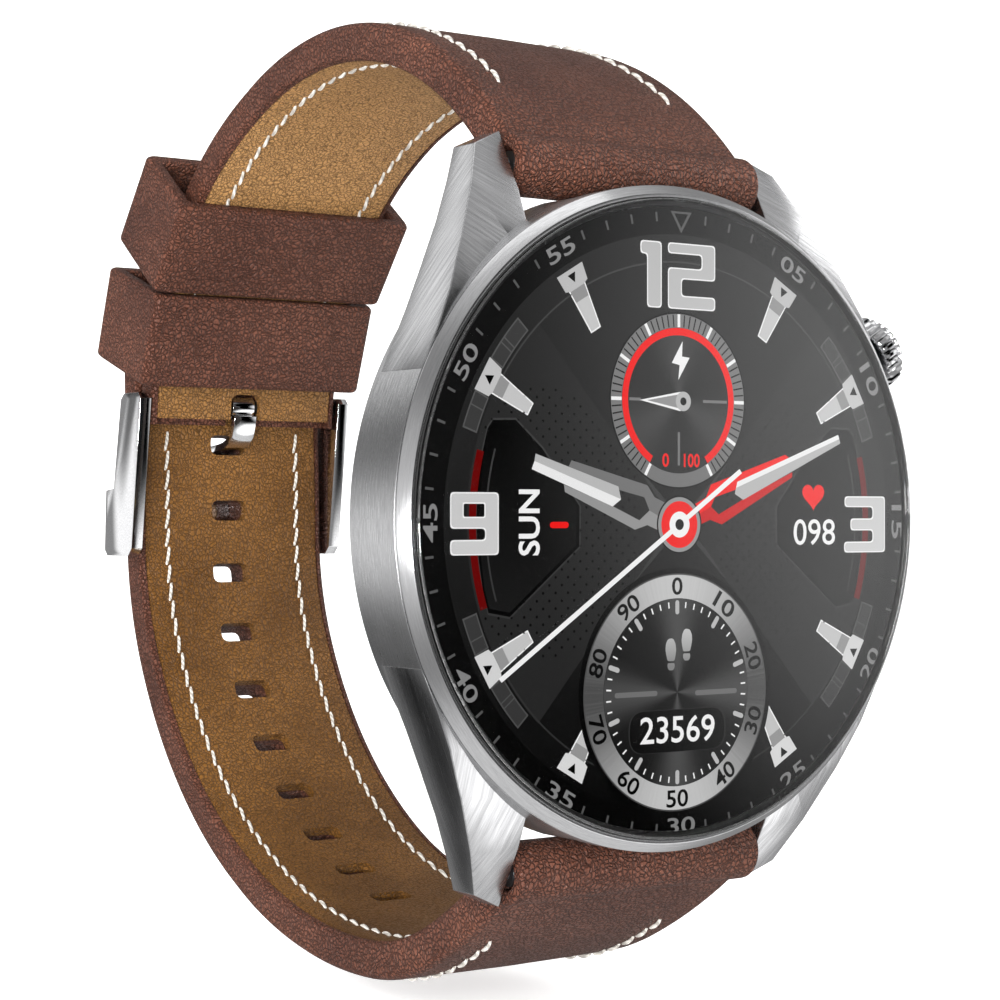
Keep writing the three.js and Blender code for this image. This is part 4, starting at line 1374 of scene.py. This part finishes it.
art("minute_frame_upper", 20, RED, [[
    (0.6, 1.0), (2.18, 1.73), (2.64, 2.64), (9.64, 4.82), (10.0, 4.64), (5.1, 2.35),
    (3.0, 1.75), (2.64, 1.09), (1.3, 0.45)]])
art("minute_frame_lower", 20, DEEP_RED, [[
    (1.3, 0.45), (2.64, 1.09), (3.36, 0.55), (5.6, 1.6), (10.33, 3.58), (10.33, 3.22),
    (3.64, -0.15), (2.55, 0.18), (1.36, -0.27), (0.6, -0.2)]])
art("minute_blade_upper", 21, screen("dial_blade_bright", grey(244), grey(244)), [[
    (5.09, 2.85), (14.87, 6.36), (14.98, 6.05), (4.97, 2.42)]])
art("minute_blade_lower", 21, PALE, [[
    (4.97, 2.42), (14.98, 6.05), (15.09, 5.73), (5.64, 1.58), (4.85, 2.0)]])
art("hub_shade", 22, DOT, [circle(2.02, *HUB, 64)])
art("hub_ring", 23, ARM, [circle(1.9, *HUB, 64)])
art("hub_disc", 24, RED, [circle(1.62, *HUB, 64)])
art("second_hand", 25, EDGE_WHITE, [[
    (5.28, 3.76), (5.5, 3.46), (-15.42, -10.46), (-15.66, -10.2)]])
art("hub_pin_ring", 26, EDGE_WHITE, [circle(0.9, *HUB, 48)])
art("hub_pin", 27, DOT, [circle(0.38, *HUB, 32)])


# ---------- stage, light and camera ----------

def stage_look():
    look = Look("studio_paper")
    grain = look.noise(look.place(), 900.0, 3.0)
    tone = look.mix(look.spread(grain, 0.3, 0.7, 0.0, 1.0), (0.90, 0.90, 0.90),
                    (0.93, 0.93, 0.93))
    return look.wire(color=tone, rough=0.95, normal=look.bump(grain, 0.00002, 0.5),
                     emission=(1.0, 1.0, 1.0), strength=0.55)


def bowl():
    """Pale floor that curves up all round, out of sight of reflections."""
    floor_z, rim = -36.8, 620.0
    profile = [(0, floor_z), (rim * 0.5, floor_z), (rim * 0.72, floor_z + 12),
               (rim * 0.88, floor_z + 60), (rim, floor_z + 180), (rim * 1.03, floor_z + 420)]
    points, layers = [], []
    for shift in (0, -4):
        rings = []
        for r, z in filleted(profile, 90, False, 8):
            wide = r - shift if r else 0
            turn = around(96) if r else [0.0]
            rings.append(add_ring(points, [
                (wide * math.cos(a), wide * math.sin(a), z + shift) for a in turn]))
        layers.append(rings)
    top, under = layers
    faces = skin(top) + skin(under) + bridge(top[-1], under[-1])
    obj = mesh_object("studio_bowl", points, faces, stage_look(), 60)
    obj.visible_glossy = False
    obj.visible_transmission = False


bowl()


def world():
    """Soft studio surround: an even base, brighter and darker patches, a sheen."""
    made = bpy.data.worlds.new("studio")
    scene.world = made
    made.use_nodes = True
    tree = made.node_tree
    tree.nodes.clear()

    def node(kind, inputs=None, **settings):
        return add_node(tree, kind, inputs, **settings)

    def lobe(direction, inner, outer, strength):
        """Soft round patch of light between two cosines of the angle off a direction."""
        unit = Vector(direction).normalized()
        dot = node("VectorMath", {0: at, 1: unit}, operation="DOT_PRODUCT").outputs["Value"]
        return node("MapRange", {
            "Value": dot, "From Min": outer, "From Max": inner, "To Min": 0.0,
            "To Max": strength}, interpolation_type="SMOOTHSTEP").outputs["Result"]

    at = node("TexCoord").outputs["Generated"]
    total = WORLD_BASE
    for entry in WORLD_LOBES:
        total = node("Math", {0: total, 1: lobe(*entry)}, operation="ADD").outputs[0]
    for entry in WORLD_FLAGS:
        kept = node("Math", {0: 1.0, 1: lobe(*entry)}, operation="SUBTRACT").outputs[0]
        total = node("Math", {0: total, 1: kept}, operation="MULTIPLY").outputs[0]
    total = node("Math", {0: total, 1: lobe(*SHEEN)}, operation="ADD").outputs[0]
    back = node("Background", {"Color": (1, 1, 1, 1), "Strength": total})
    output = node("OutputWorld")
    tree.links.new(back.outputs[0], output.inputs[0])


# each entry: direction, cosine where it is full, cosine where it ends, strength
WORLD_BASE = 0.32
WORLD_LOBES = [
    ((-0.93, -0.36, 0.0), 0.98, 0.80, 0.28),
    ((-0.585, 0.811, -0.05), 0.99, 0.94, 1.0),
    ((0.585, -0.62, -0.52), 0.98, 0.93, 1.5),
    ((0.585, -0.50, 0.65), 0.985, 0.95, 0.3),
    ((0.0, 0.0, 1.0), 0.95, 0.70, 0.35),
    ((-0.35, 0.80, 0.48), 0.99, 0.95, 0.9),
    ((0.1, -0.1, -1.0), 0.9, 0.6, 0.5),
]
WORLD_FLAGS = [
    ((0.56, -0.80, 0.14), 0.955, 0.87, 1.0),
    ((-0.53, 0.811, 0.25), 0.99, 0.965, 0.85),
    ((-0.40, 0.80, -0.46), 0.985, 0.955, 1.0),
]
SHEEN = ((0.80, -0.60, 0.06), 1.0, 0.953, 1.3)
world()


def area(name, position, target, size, energy, reflected=True):
    light = bpy.data.lights.new(name, "AREA")
    light.shape = "RECTANGLE"
    light.size, light.size_y = size
    light.energy = energy
    obj = bpy.data.objects.new(name, light)
    scene.collection.objects.link(obj)
    aim = Vector(target) - Vector(position)
    obj.matrix_world = Matrix.Translation(position) @ aim.to_track_quat(
        "-Z", "Y").to_matrix().to_4x4()
    obj.visible_camera = False
    obj.visible_glossy = reflected


# the key light is kept out of reflections, where its straight edges would show
area("key_light", (-0.36, -0.16, 0.16), (0, 0.02, 0), (0.22, 0.3), 2.2, reflected=False)
area("low_light", (-0.17, -0.19, -0.02), (0, 0.03, -0.01), (0.14, 0.03), 0.9)
area("top_light", (0.0, 0.05, 0.45), (0, 0.02, 0), (0.35, 0.25), 0.2)
area("right_light", (0.4, -0.05, 0.15), (0, 0.02, 0), (0.2, 0.3), 0.5)


def camera():
    """Camera at the picture's angle, distance and lens."""
    a, e, roll = (math.radians(d) for d in (-35.8024587, -0.298799385, 0.0234273429))
    back = Vector((math.sin(a) * math.cos(e), -math.cos(a) * math.cos(e), math.sin(e)))
    right = Vector((math.cos(a), math.sin(a), 0))
    up = back.cross(right)
    across = right * math.cos(roll) + up * math.sin(roll)
    above = up * math.cos(roll) - right * math.sin(roll)
    lens = bpy.data.cameras.new("camera")
    lens.lens = 84.148
    lens.sensor_width = 36.0
    lens.clip_start = 0.01
    obj = bpy.data.objects.new("camera", lens)
    scene.collection.objects.link(obj)
    turn = Matrix((across, above, back)).transposed().to_4x4()
    obj.matrix_world = Matrix.Translation(Vector((-104.82, -133.89, 0.43)) * MM) @ turn
    scene.camera = obj


camera()
scene.view_settings.view_transform = "Standard"
